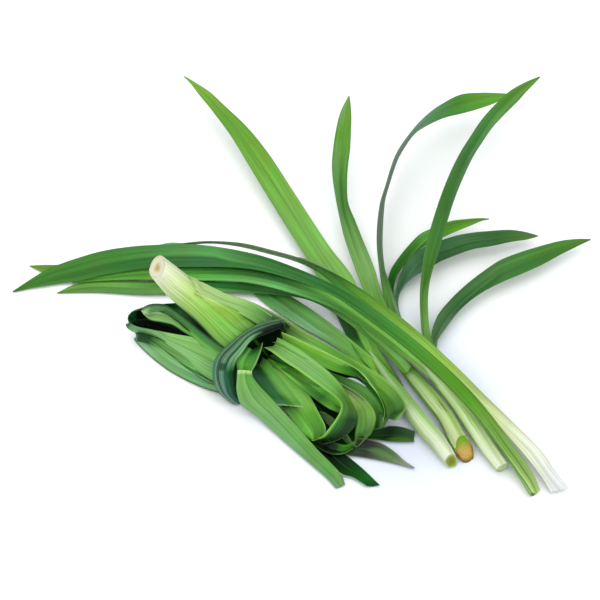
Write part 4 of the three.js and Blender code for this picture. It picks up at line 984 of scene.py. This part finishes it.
# Shoot A.
A_SHEATHS = ((0.6, 0.8, 0.14), (2.6, -0.6, 0.12), (4.6, 0.5, 0.1))
stalk(
    "shoot_a_stalk", "shoot_a", SHOOT_A_STALK, 0.95,
    bark(
        (232, 235, 204), (190, 220, 146), (132, 185, 84), (129, 194, 72), (163, 230, 103),
        # The pale lines on the stalk's upper side are painted highlights.
        lines=(
            (0.0, 0.08, (174, 208, 92), 0.6), (0.16, 0.13, (244, 246, 226), 0.4),
            (0.32, 0.06, (140, 188, 104), 0.4),
        ),
    ),
    cut_end((112, 130, 22), (135, 152, 34), (146, 162, 50), (214, 226, 175)), SHOOT_A_CUT, A_SHEATHS,
)
# The dark band about a fifth of the way along is the painted shadow of the arch leaves above it.
blade("shoot_a_upper_blade", "shoot_a", SHOOT_A_UPPER_BLADE, BROAD_BLADE, marks(
    (0, (200, 242, 120)), (0.1, (150, 228, 94)), (0.17, (35, 93, 32)), (0.24, (60, 120, 44)),
    (0.33, (123, 189, 77)), (0.5, (120, 176, 70)), (0.67, (111, 167, 50)), (0.83, (98, 161, 34)),
    (1, (124, 185, 40)),
    right=sixths(
        (54, 104, 53), (168, 246, 96), (131, 188, 84), (122, 180, 70), (114, 173, 45), (104, 163, 32),
        (138, 187, 62),
    ),
))
blade("shoot_a_lower_blade", "shoot_a", SHOOT_A_LOWER_BLADE, MIDDLE_BLADE, marks(
    *sixths(
        (120, 180, 70), (168, 240, 86), (117, 180, 76), (154, 207, 146), (108, 178, 104), (80, 182, 74),
        (80, 150, 60),
    ),
    right=sixths(
        (120, 180, 70), (165, 236, 82), (138, 199, 90), (117, 177, 90), (90, 160, 74), (76, 150, 60),
        (70, 140, 55),
    ),
))

# Shoot B.
B_SHEATHS = ((0.3, 0.7, 0.12), (2.2, -0.5, 0.14), (4.2, 0.6, 0.12))
stalk(
    "shoot_b_stalk", "shoot_b", SHOOT_B_STALK, 0.95,
    bark(
        (190, 204, 132), (180, 212, 124), (160, 206, 108), (116, 185, 60), (112, 162, 26), (112, 165, 60),
        # The pale lines on the stalk's upper side are painted highlights.
        lines=(
            (0.02, 0.06, (112, 156, 40), 0.6), (0.14, 0.11, (234, 238, 200), 0.4),
            (0.27, 0.05, (124, 164, 74), 0.5), (0.35, 0.05, (216, 226, 170), 0.5),
        ),
        patches=(
            (0.25, 0.28, 0.022, 0.07, (112, 96, 66), 0.7), (0.2, 0.3, 0.016, 0.05, (150, 130, 96), 0.5),
            (0.04, 0.2, 0.05, 0.14, (110, 122, 28), 0.6),
        ),
    ),
    cut_end((212, 172, 84), (216, 180, 98), (208, 168, 82), (92, 58, 22), top=((112, 176, 24), 0.42, 0.86)),
    SHOOT_B_CUT, B_SHEATHS,
)
blade("shoot_b_straight_blade", "shoot_b", SHOOT_B_STRAIGHT_BLADE, MIDDLE_BLADE, marks(
    *sixths(
        (105, 170, 62), (134, 202, 90), (150, 200, 104), (133, 185, 104), (116, 176, 99), (91, 155, 35),
        (127, 183, 92),
    ),
    right=sixths(
        (100, 160, 62), (130, 198, 90), (144, 187, 108), (112, 166, 86), (100, 156, 64), (92, 155, 26),
        (113, 164, 58),
    ),
))
blade("shoot_b_hooked_blade", "shoot_b", SHOOT_B_HOOKED_BLADE, NARROW_BLADE, marks(
    (0, (120, 175, 82)), (0.17, (113, 178, 77)), (0.3, (80, 122, 72)), (0.5, (58, 88, 62)),
    (0.64, (66, 104, 78)), (0.72, (84, 140, 92)), (0.82, (64, 138, 26)), (1, (126, 190, 56)),
    right=(
        (0, (110, 165, 75)), (0.17, (86, 141, 66)), (0.33, (66, 106, 61)), (0.5, (56, 86, 62)),
        (0.62, (66, 106, 80)), (0.7, (46, 112, 34)), (0.82, (60, 146, 14)), (1, (120, 198, 46)),
    ),
    split=(0.55, 0.1),
))
blade("shoot_b_short_blade", "shoot_b", SHOOT_B_SHORT_BLADE, NARROW_BLADE, marks(
    *sixths(
        (105, 165, 70), (100, 170, 60), (36, 122, 12), (76, 160, 59), (103, 170, 66), (79, 156, 31),
        (93, 136, 37),
    ),
    right=sixths(
        (105, 165, 70), (100, 170, 60), (78, 186, 61), (12, 88, 8), (60, 133, 27), (96, 177, 37),
        (87, 145, 26),
    ),
))
blade("shoot_b_outer_blade", "shoot_b", SHOOT_B_OUTER_BLADE, MIDDLE_BLADE, marks(
    *sixths(
        (150, 198, 115), (125, 180, 108), (100, 149, 103), (50, 107, 57), (61, 117, 61), (40, 106, 39),
        (85, 132, 51),
    ),
    right=sixths(
        (150, 198, 115), (140, 190, 140), (140, 182, 160), (50, 103, 52), (47, 103, 49), (34, 97, 25),
        (80, 132, 39),
    ),
))

# Shoot C.
C_SHEATHS = ((0.9, 0.7, 0.14), (3.0, -0.5, 0.12), (5.0, 0.4, 0.12))
stalk(
    "shoot_c_stalk", "shoot_c", SHOOT_C_STALK, 0.9,
    bark(
        (232, 242, 202), (212, 238, 164), (198, 242, 126), (196, 250, 136), (150, 218, 104),
        # The pale lines on the stalk's upper side are painted highlights.
        lines=(
            (0.0, 0.06, (104, 164, 52), 0.65), (0.13, 0.12, (246, 250, 230), 0.4),
            (0.24, 0.05, (140, 196, 84), 0.4), (0.33, 0.06, (236, 244, 206), 0.5),
        ),
    ),
    cut_end((198, 218, 160), (206, 226, 172), (214, 232, 184), (170, 192, 120)), None, C_SHEATHS,
)
blade("shoot_c_tall_blade", "shoot_c", SHOOT_C_TALL_BLADE, MIDDLE_BLADE, marks(
    *sixths(
        (95, 160, 55), (140, 190, 108), (104, 161, 70), (87, 147, 65), (84, 144, 72), (67, 136, 38),
        (93, 158, 36),
    ),
    right=sixths(
        (95, 160, 55), (170, 221, 119), (94, 147, 61), (84, 142, 79), (116, 163, 104), (84, 148, 50),
        (96, 160, 38),
    ),
))
blade("shoot_c_low_blade", "shoot_c", SHOOT_C_LOW_BLADE, MIDDLE_BLADE, marks(
    (0, (100, 160, 56)), (0.2, (116, 155, 99)), (0.4, (75, 129, 69)), (0.6, (63, 125, 50)),
    (0.8, (65, 136, 37)), (1, (83, 138, 35)),
    right=(
        (0, (100, 160, 60)), (0.2, (155, 192, 152)), (0.4, (64, 110, 67)), (0.6, (52, 120, 42)),
        (0.8, (52, 124, 25)), (1, (69, 131, 24)),
    ),
))
blade("shoot_c_arch_blade", "shoot_c", SHOOT_C_ARCH_BLADE, ARCH_WIDTH, marks(
    *sixths(
        (215, 246, 150), (106, 170, 61), (92, 158, 57), (130, 216, 122), (118, 203, 87), (86, 156, 46),
        (98, 180, 69),
    ),
    right=sixths(
        (180, 235, 120), (158, 235, 100), (142, 218, 86), (74, 156, 75), (93, 180, 72), (100, 177, 66),
        (115, 212, 80),
    ),
    # Painted shadow: a dark patch along the edge that lies under the top blade.
    patches=((1.0, 0.56, 0.3, 0.34, (8, 52, 8), 0.95),),
))

# The three long blades of the arch.
blade(
    "arch_top_blade", "leaf_top", TOP_BLADE, MIDDLE_BLADE,
    marks(
        *sixths(
            (168, 206, 130), (98, 186, 32), (130, 240, 92), (93, 188, 84), (43, 104, 48), (36, 115, 22),
            (63, 129, 24),
        ),
        right=sixths(
            (198, 230, 140), (116, 184, 53), (92, 162, 68), (92, 164, 92), (85, 155, 73), (57, 129, 36),
            (60, 128, 15),
        ),
        left_edge=((70, 128, 40), 0.6, 0.1),
        # Near the base, the pale patches are painted highlights and the dark ones painted shade in the
        # fold.
        patches=(
            (0.3, 0.06, 0.1, 0.16, (190, 228, 136), 0.65), (0.46, 0.05, 0.06, 0.2, (48, 110, 18), 0.75),
            (0.62, 0.01, 0.08, 0.07, (206, 236, 160), 0.6), (0.8, 0.04, 0.05, 0.12, (58, 118, 24), 0.6),
            (0.45, 0.0, 0.34, 0.006, (46, 88, 34), 0.8),
        ),
    ),
    hollow=(0.9, 0.2),
)
blade(
    "arch_back_blade", "leaf_back", BACK_BLADE, PRESSED_BLADE,
    marks(
        (0, (249, 250, 243)), (0.15, (236, 250, 170)), (0.25, (190, 244, 114)), (0.42, (80, 150, 46)),
        (0.5, (92, 156, 66)), (0.6, (130, 184, 112)), (0.75, (112, 168, 90)), (1, (112, 156, 40)),
        right=(
            (0, (238, 240, 242)), (0.15, (240, 250, 200)), (0.25, (208, 250, 124)), (0.42, (140, 206, 76)),
            (0.52, (118, 172, 84)), (0.75, (112, 166, 88)), (1, (100, 146, 34)),
        ),
        patches=(
            (1.0, 0.14, 0.14, 0.14, (216, 208, 162), 0.5), (0.5, 0.05, 0.05, 0.1, (214, 224, 200), 0.6),
            (0.25, 0.05, 0.04, 0.08, (212, 222, 196), 0.6),
        ),
    ),
    hollow=(0.9, 0.2),
)
blade("arch_torn_blade", "leaf_torn", TORN_BLADE, SLIM_BLADE, marks(
    *sixths(
        (108, 177, 54), (143, 221, 99), (140, 215, 118), (90, 170, 80), (114, 175, 86), (92, 150, 64),
        (92, 150, 54),
    ),
    right=sixths(
        (126, 184, 92), (158, 234, 113), (134, 208, 118), (38, 128, 41), (38, 116, 28), (110, 173, 70),
        (99, 163, 67),
    ),
))

# The folded bundle. Near-black and dark stops where its blades meet the tie, turn under or lie deep inside
# are painted shade.
# Painted shade: the leaves packed inside the tie are painted near black, as the dark hollow there.
packed_core(marks(*evenly((8, 20, 6), (4, 14, 4), (5, 22, 4)), shine=0.0))
# Painted shade: the bundle stalk's lower side is painted near black.
stalk(
    "bundle_stalk", "bundle", BUNDLE_STALK, 0.8,
    bark(
        (234, 240, 204), (216, 232, 172), (176, 216, 110), (148, 199, 80), (128, 198, 76), (118, 194, 86),
        right=(
            (0, (245, 250, 208)), (0.2, (222, 242, 166)), (0.4, (110, 176, 76)), (0.55, (9, 60, 6)),
            (1, (9, 58, 6)),
        ),
        split=(0.5, 0.03),
    ),
    cut_end((190, 165, 95), (214, 194, 130), (235, 228, 195), (240, 236, 212), (222, 205, 160)),
    BUNDLE_STALK_CUT, ((0.4, 0.5, 0.1), (2.4, -0.6, 0.12), (4.6, 0.4, 0.1)),
)
bundle_blade("inner_sheath", BUNDLE_INNER_SHEATH, PRESSED_BLADE, marks(
    (0, (196, 230, 122)), (0.2, (206, 235, 132)), (0.45, (158, 200, 74)), (0.65, (138, 196, 70)),
    (0.85, (113, 179, 76)), (1, (50, 100, 40)), right_edge=((60, 110, 30), 0.85, 0.3), under_share=0.0,
    lines=((0.6, 0.1, (100, 160, 45), 0.5),),
))
bundle_blade("outer_sheath", BUNDLE_OUTER_SHEATH, PRESSED_BLADE, marks(
    (0, (192, 214, 136)), (0.3, (180, 216, 132)), (0.6, (153, 204, 111)), (0.83, (98, 154, 63)),
    (1, (45, 85, 45)), left_edge=((60, 110, 30), 0.5, 0.06), under_share=0.0,
    right_edge=((190, 224, 142), 0.6, 0.14), lines=((0.45, 0.08, (120, 170, 80), 0.5),),
))
# Painted shade: the dark band near the start is the tie's shadow, and the dark stops past the middle are
# the shaded bend at the far end.
bundle_blade("back_blade", BUNDLE_BACK_BLADE, NARROW_BLADE, marks(
    (0, (156, 196, 116)), (0.07, (104, 165, 90)), (0.15, (40, 80, 26)), (0.24, (164, 227, 108)),
    (0.4, (153, 224, 92)), (0.5, (74, 126, 38)), (0.57, (38, 90, 20)),
    right=(
        (0, (150, 190, 110)), (0.15, (30, 60, 20)), (0.24, (120, 185, 70)), (0.4, (100, 184, 43)),
        (0.5, (66, 107, 25)), (0.57, (36, 86, 22)),
    ),
    left_edge=((160, 220, 100), 0.6, 0.16),
))
# Painted shade: dark at the start under the tie, and darker past about two thirds where the blade curls
# under.
bundle_blade("upper_blade", BUNDLE_UPPER_BLADE, PRESSED_BLADE, marks(
    (0, (40, 80, 30)), (0.25, (133, 202, 64)), (0.4, (137, 207, 64)), (0.54, (156, 224, 95)),
    (0.65, (96, 186, 34)), (0.74, (56, 148, 15)), (1, (52, 145, 25)),
    right=(
        (0, (40, 80, 30)), (0.25, (128, 200, 70)), (0.4, (106, 173, 52)), (0.54, (98, 172, 47)),
        (0.65, (45, 134, 8)), (0.74, (20, 110, 4)), (1, (52, 128, 20)),
    ),
    left_edge=((190, 240, 130), 0.75, 0.12),
))
bundle_blade("middle_blade", BUNDLE_MIDDLE_BLADE, SLIM_BLADE, marks(
    (0, (60, 110, 45)), (0.2, (80, 150, 50)), (0.34, (74, 138, 58)), (0.43, (98, 160, 64)),
    (0.5, (84, 138, 56)), (0.57, (40, 110, 26)), right_edge=DARK_EDGE,
    lines=((0.5, 0.06, RIB_TONE, 0.4), (0.25, 0.04, (120, 175, 95), 0.5)),
))
bundle_blade("shade_blade", BUNDLE_SHADE_BLADE, PRESSED_BLADE, marks(
    *evenly((8, 44, 3), (14, 90, 4), (4, 50, 2)), shine=0.05,
))
# Painted shade: the right half ends near black where the blade turns under.
bundle_blade("broad_blade", BUNDLE_BROAD_BLADE, PRESSED_BLADE, marks(
    (0, (60, 115, 45)), (0.2, (150, 215, 90)), (0.33, (226, 252, 184)), (0.42, (140, 193, 79)),
    (0.49, (89, 135, 62)), (0.56, (88, 142, 67)),
    right=(
        (0, (60, 115, 45)), (0.2, (123, 200, 79)), (0.33, (212, 250, 160)), (0.42, (109, 158, 55)),
        (0.49, (87, 147, 57)), (0.56, (16, 58, 12)),
    ),
    right_edge=((40, 84, 24), 0.6, 0.12),
))
# Painted shade: past the turn the blade is painted near black, on its side turned away under the bundle.
bundle_blade("front_blade", BUNDLE_FRONT_BLADE, PRESSED_BLADE, marks(
    (0, (118, 175, 88)), (0.22, (128, 192, 92)), (0.42, (130, 190, 100)), (0.6, (121, 188, 86)),
    (0.7, (100, 155, 60)), (0.8, (3, 57, 4)), (1, (4, 22, 3)),
    right=(
        (0, (120, 175, 85)), (0.22, (117, 168, 76)), (0.42, (122, 179, 96)), (0.6, (121, 178, 86)),
        (0.7, (104, 161, 67)), (0.8, (38, 120, 26)), (1, (13, 50, 6)),
    ),
    split=(0.62, 0.14), right_edge=((150, 215, 92), 0.9, 0.2),
))
# Painted shade: the right half is near black from about two fifths on, in the dark gap beside the front
# blade, and the end is near black too.
bundle_blade("inner_blade", BUNDLE_INNER_BLADE, PRESSED_BLADE, marks(
    (0, (54, 120, 26)), (0.23, (91, 168, 37)), (0.39, (155, 226, 98)), (0.54, (162, 250, 99)),
    (0.69, (195, 252, 114)), (0.84, (49, 119, 27)), (1, (8, 22, 8)),
    right=(
        (0, (119, 203, 71)), (0.23, (92, 167, 46)), (0.33, (60, 120, 32)), (0.39, (14, 60, 14)),
        (1, (16, 60, 14)),
    ),
    under_share=0.0, split=(0.58, 0.1), lines=(), left_edge=((150, 220, 110), 0.5, 0.1), right_edge=NO_EDGE,
))
bundle_blade("lining_blade", BUNDLE_LINING_BLADE, PRESSED_BLADE, marks(
    (0, (20, 60, 10)), (0.29, (57, 140, 35)), (0.47, (77, 171, 30)), (0.65, (130, 224, 70)),
    (0.8, (84, 165, 40)), (0.92, (112, 195, 60)), (1, (130, 215, 77)),
    right=(
        (0, (20, 60, 10)), (0.29, (95, 194, 46)), (0.47, (144, 240, 93)), (0.65, (91, 156, 61)),
        (0.8, (54, 115, 43)), (0.92, (115, 190, 75)), (1, (93, 160, 64)),
    ),
))
# Painted shade: a near-black sheet deep in the bundle, where there is only shadow.
bundle_blade("deep_shadow_blade", BUNDLE_DEEP_SHADOW_BLADE, PRESSED_BLADE, marks(
    *evenly((3, 22, 2), (3, 36, 3), (6, 44, 6)), shine=0.02,
))
# Painted shade: near black for most of its length under the bundle, green only near its end.
bundle_blade("base_blade", BUNDLE_BASE_BLADE, PRESSED_BLADE, marks(
    (0, (8, 20, 4)), (0.45, (12, 34, 5)), (0.6, (14, 24, 5)), (0.72, (22, 52, 8)), (0.8, (60, 130, 26)),
    (1, (80, 160, 32)),
))
# Painted shadow: the right-hand stops paint the strap's shadow on this leaf, and the near-black start is
# painted shade under the tie; the pale end is the cut edge.
bundle_blade(
    "cut_end", BUNDLE_CUT_END, NARROW_BLADE,
    marks(
        (0, (3, 12, 3)), (0.16, (10, 34, 8)), (0.32, (84, 150, 50)), (0.7, (100, 165, 64)),
        (0.97, (104, 166, 66)), (1, (200, 225, 150)),
        right=(
            (0, (0, 6, 2)), (0.2, (4, 34, 18)), (0.4, (12, 70, 32)), (0.8, (30, 112, 46)),
            (0.97, (60, 130, 70)), (1, (180, 210, 150)),
        ),
        split=(0.42, 0.1), left_edge=NO_EDGE,
    ),
    FOLDED,
)
# Painted shade and highlights: the near-black to dark green body is painted shade, and both pale edges are
# painted highlights.
bundle_blade(
    "blunt_end", BUNDLE_BLUNT_END, NARROW_BLADE,
    marks(
        (0, (3, 10, 3)), (0.42, (3, 14, 4)), (0.58, (4, 36, 8)), (0.72, (10, 66, 18)), (0.88, (20, 98, 28)),
        (1, (16, 72, 22)), right_edge=((180, 214, 176), 0.75, 0.07), left_edge=((140, 146, 120), 0.5, 0.06),
        shine=0.06,
    ),
    FOLDED,
)
# Painted shade: the dark start lies in the shade under the bundle.
bundle_blade(
    "pointed_end", BUNDLE_POINTED_END, NARROW_BLADE,
    marks(
        (0, (10, 30, 8)), (0.2, (14, 32, 12)), (0.53, (26, 30, 25)), (0.76, (78, 115, 57)),
        (1, (165, 168, 160)),
        right=(
            (0, (20, 50, 12)), (0.25, (40, 70, 28)), (0.5, (45, 55, 45)), (0.76, (100, 130, 84)),
            (1, (170, 170, 165)),
        ),
        left_edge=((150, 132, 112), 0.5, 0.1), patches=((0.5, 0.66, 0.27, 0.2, (104, 150, 78), 0.45),),
    ),
    FOLDED, taper_end=True,
)
# Painted light and shade: halves paints one half darker and the other brighter.
bundle_blade(
    "side_end", BUNDLE_SIDE_END, NARROW_BLADE,
    marks(
        *evenly((20, 60, 16), (28, 74, 24), (14, 38, 10), (60, 96, 50)), halves=(0.9, 1.2), shine=0.06,
        left_edge=((120, 132, 112), 0.5, 0.07), patches=((0.85, 0.82, 0.34, 0.24, (84, 130, 58), 0.5),),
    ),
    FOLDED,
)
# Painted shade: dark stops and a dark band at the loop's bend, and the underside painted near black inside
# the loop.
bundle_blade("left_loop", BUNDLE_LEFT_LOOP, NARROW_BLADE, marks(
    (0, (60, 110, 50)), (0.46, (34, 130, 26)), (0.54, (86, 196, 82)), (0.62, (159, 230, 128)),
    (0.84, (134, 193, 97)), (1, (103, 171, 80)),
    right=(
        (0, (60, 110, 50)), (0.46, (12, 110, 9)), (0.54, (124, 180, 118)), (0.62, (168, 234, 154)),
        (0.84, (142, 198, 114)), (1, (84, 147, 90)),
    ),
    under=(6, 20, 5), under_share=1.0, under_shine=0.02, left_edge=((160, 215, 130), 0.5, 0.1),
    patches=((0.4, 0.485, 1.2, 0.045, (22, 100, 42), 0.9),),
))
# Painted shade: dark stops at the loop's bend, and dark bands along both edges in the gaps beside the other
# loops.
bundle_blade(
    "lower_loop", BUNDLE_LOWER_LOOP, PRESSED_BLADE,
    marks(
        (0, (110, 170, 100)), (0.2, (172, 240, 166)), (0.4, (134, 203, 113)), (0.53, (124, 196, 122)),
        (0.57, (20, 78, 26)), (0.62, (18, 72, 26)), (0.68, (112, 176, 90)), (1, (134, 196, 104)),
        right=(
            (0, (110, 165, 105)), (0.2, (128, 185, 127)), (0.4, (133, 190, 117)), (0.52, (166, 212, 158)),
            (0.57, (34, 96, 40)), (0.61, (30, 86, 34)), (0.67, (120, 186, 98)), (1, (180, 245, 156)),
        ),
        under_share=0.0, left_edge=((10, 40, 8), 0.9, 0.09), right_edge=((14, 56, 36), 0.9, 0.1),
    ),
    keel_up=True,
)
# Painted shadow: a dark leaf in the gap beside the stalk, painted dark green to near black as the stalk's
# shadow.
bundle_blade(
    "stalk_shadow_leaf", BUNDLE_STALK_SHADOW_LEAF, SLIM_BLADE, marks(*evenly((40, 120, 50), (2, 62, 4), (60, 104, 48))),
)
# Painted shadow and highlight: the wide dark left edge is the stalk's shadow, and the pale stops round the
# bend are a painted highlight.
bundle_blade("upper_loop", BUNDLE_UPPER_LOOP, PRESSED_BLADE, marks(
    (0, (78, 154, 70)), (0.3, (67, 136, 52)), (0.5, (96, 150, 83)), (0.58, (204, 252, 174)),
    (0.8, (64, 156, 44)), (1, (65, 126, 58)),
    right=(
        (0, (126, 206, 84)), (0.3, (125, 189, 79)), (0.5, (212, 250, 200)), (0.58, (195, 242, 163)),
        (0.8, (113, 190, 90)), (1, (65, 126, 58)),
    ),
    under_share=0.0, left_edge=((10, 46, 8), 0.9, 0.24), right_edge=((16, 50, 12), 0.6, 0.08),
))

# The tie. Its stops carry painted shade and light: the inner strands are near black at both ends of the
# ring, where it runs into the dark hollow at its top right, with pale painted highlight bands between.
strand(
    "1", 0.0, 0.15, 0.9, 0.01, (0, (36, 96, 44)), (0.1, (42, 100, 50)), (0.3, (56, 118, 74)),
    (0.5, (92, 132, 100)), (0.7, (50, 90, 66)), (1, (36, 96, 44)),
)
strand(
    "2", 0.12, 0.23, 1.2, 0.015, (0, (70, 130, 72)), (0.1, (76, 134, 78)), (0.2, (88, 140, 100)),
    (0.3, (94, 146, 112)), (0.5, (134, 170, 150)), (0.7, (80, 120, 92)), (1, (70, 130, 72)),
)
strand(
    "3", 0.2, 0.31, 0.8, 0.015, (0, (12, 56, 24)), (0.3, (14, 60, 32)), (0.5, (50, 92, 66)),
    (1, (12, 56, 24)),
)
strand(
    "4", 0.29, 0.59, 1.45, 0.02, (0, (10, 34, 14)), (0.06, (30, 70, 36)), (0.15, (80, 128, 86)),
    (0.3, (86, 134, 104)), (0.5, (100, 138, 130)), (0.8, (80, 120, 92)), (1, (36, 80, 40)),
    patches=((0.5, 0.272, 1.2, 0.02, (6, 70, 34), 0.85),),
)
strand(
    "5", 0.56, 0.67, 0.8, 0.015, (0, (6, 24, 8)), (0.06, (16, 60, 28)), (0.12, (30, 105, 61)),
    (0.3, (48, 126, 86)), (0.5, (30, 100, 60)), (1, (6, 24, 8)), lines=(), shine=0.1,
)
strand(
    "6", 0.64, 0.87, 1.35, 0.02, (0, (3, 10, 4)), (0.075, (6, 22, 8)), (0.12, (120, 168, 120)),
    (0.24, (124, 170, 126)), (0.29, (10, 90, 40)), (0.42, (58, 110, 88)), (1, (3, 10, 4)),
    lines=((0.5, 0.08, (120, 150, 130), 0.25),), shine=0.1,
)
strand(
    "7", 0.84, 1.0, 1.1, 0.015, (0, (2, 8, 3)), (0.1, (4, 16, 5)), (0.14, (120, 190, 110)),
    (0.23, (130, 196, 120)), (0.28, (8, 80, 34)), (0.5, (20, 80, 42)), (1, (2, 8, 3)), lines=(), shine=0.1,
)
blade(
    "tie_strap", "tie_leaf", TIE_STRAP[3:], TIE_WIDTH,
    marks(
        (0, (214, 234, 150)), (0.014, (186, 226, 138)), (0.032, (94, 166, 66)), (0.35, (121, 182, 96)),
        (0.65, (104, 172, 74)), (0.9, (96, 169, 70)), (1, (107, 152, 93)),
        right=(
            (0, (214, 234, 150)), (0.012, (200, 238, 142)), (0.028, (124, 190, 88)),
            (0.35, (119, 173, 100)), (0.65, (116, 167, 96)), (0.9, (95, 157, 82)), (1, (115, 157, 106)),
        ),
        lines=((0.5, 0.04, RIB_TONE, 0.25),), right_edge=((130, 180, 134), 0.6, 0.12),
    ),
    **STRAP,
)
# Painted shade: near black at the start, under the tie.
blade(
    "tie_stub", "tie_leaf", TIE_STRAP[:4] + [(251.5, 374, 38.5, 238, 375, 37.5)], TIE_WIDTH,
    marks(
        (0, (8, 30, 8)), (0.3, (36, 100, 22)), (0.6, (64, 136, 30)), (0.85, (82, 156, 40)),
        (1, (86, 160, 46)), left_edge=((150, 205, 120), 0.6, 0.12),
        lines=((0.72, 0.14, (110, 190, 80), 0.6),), right_edge=((40, 90, 36), 0.8, 0.16),
    ),
    **STRAP,
)
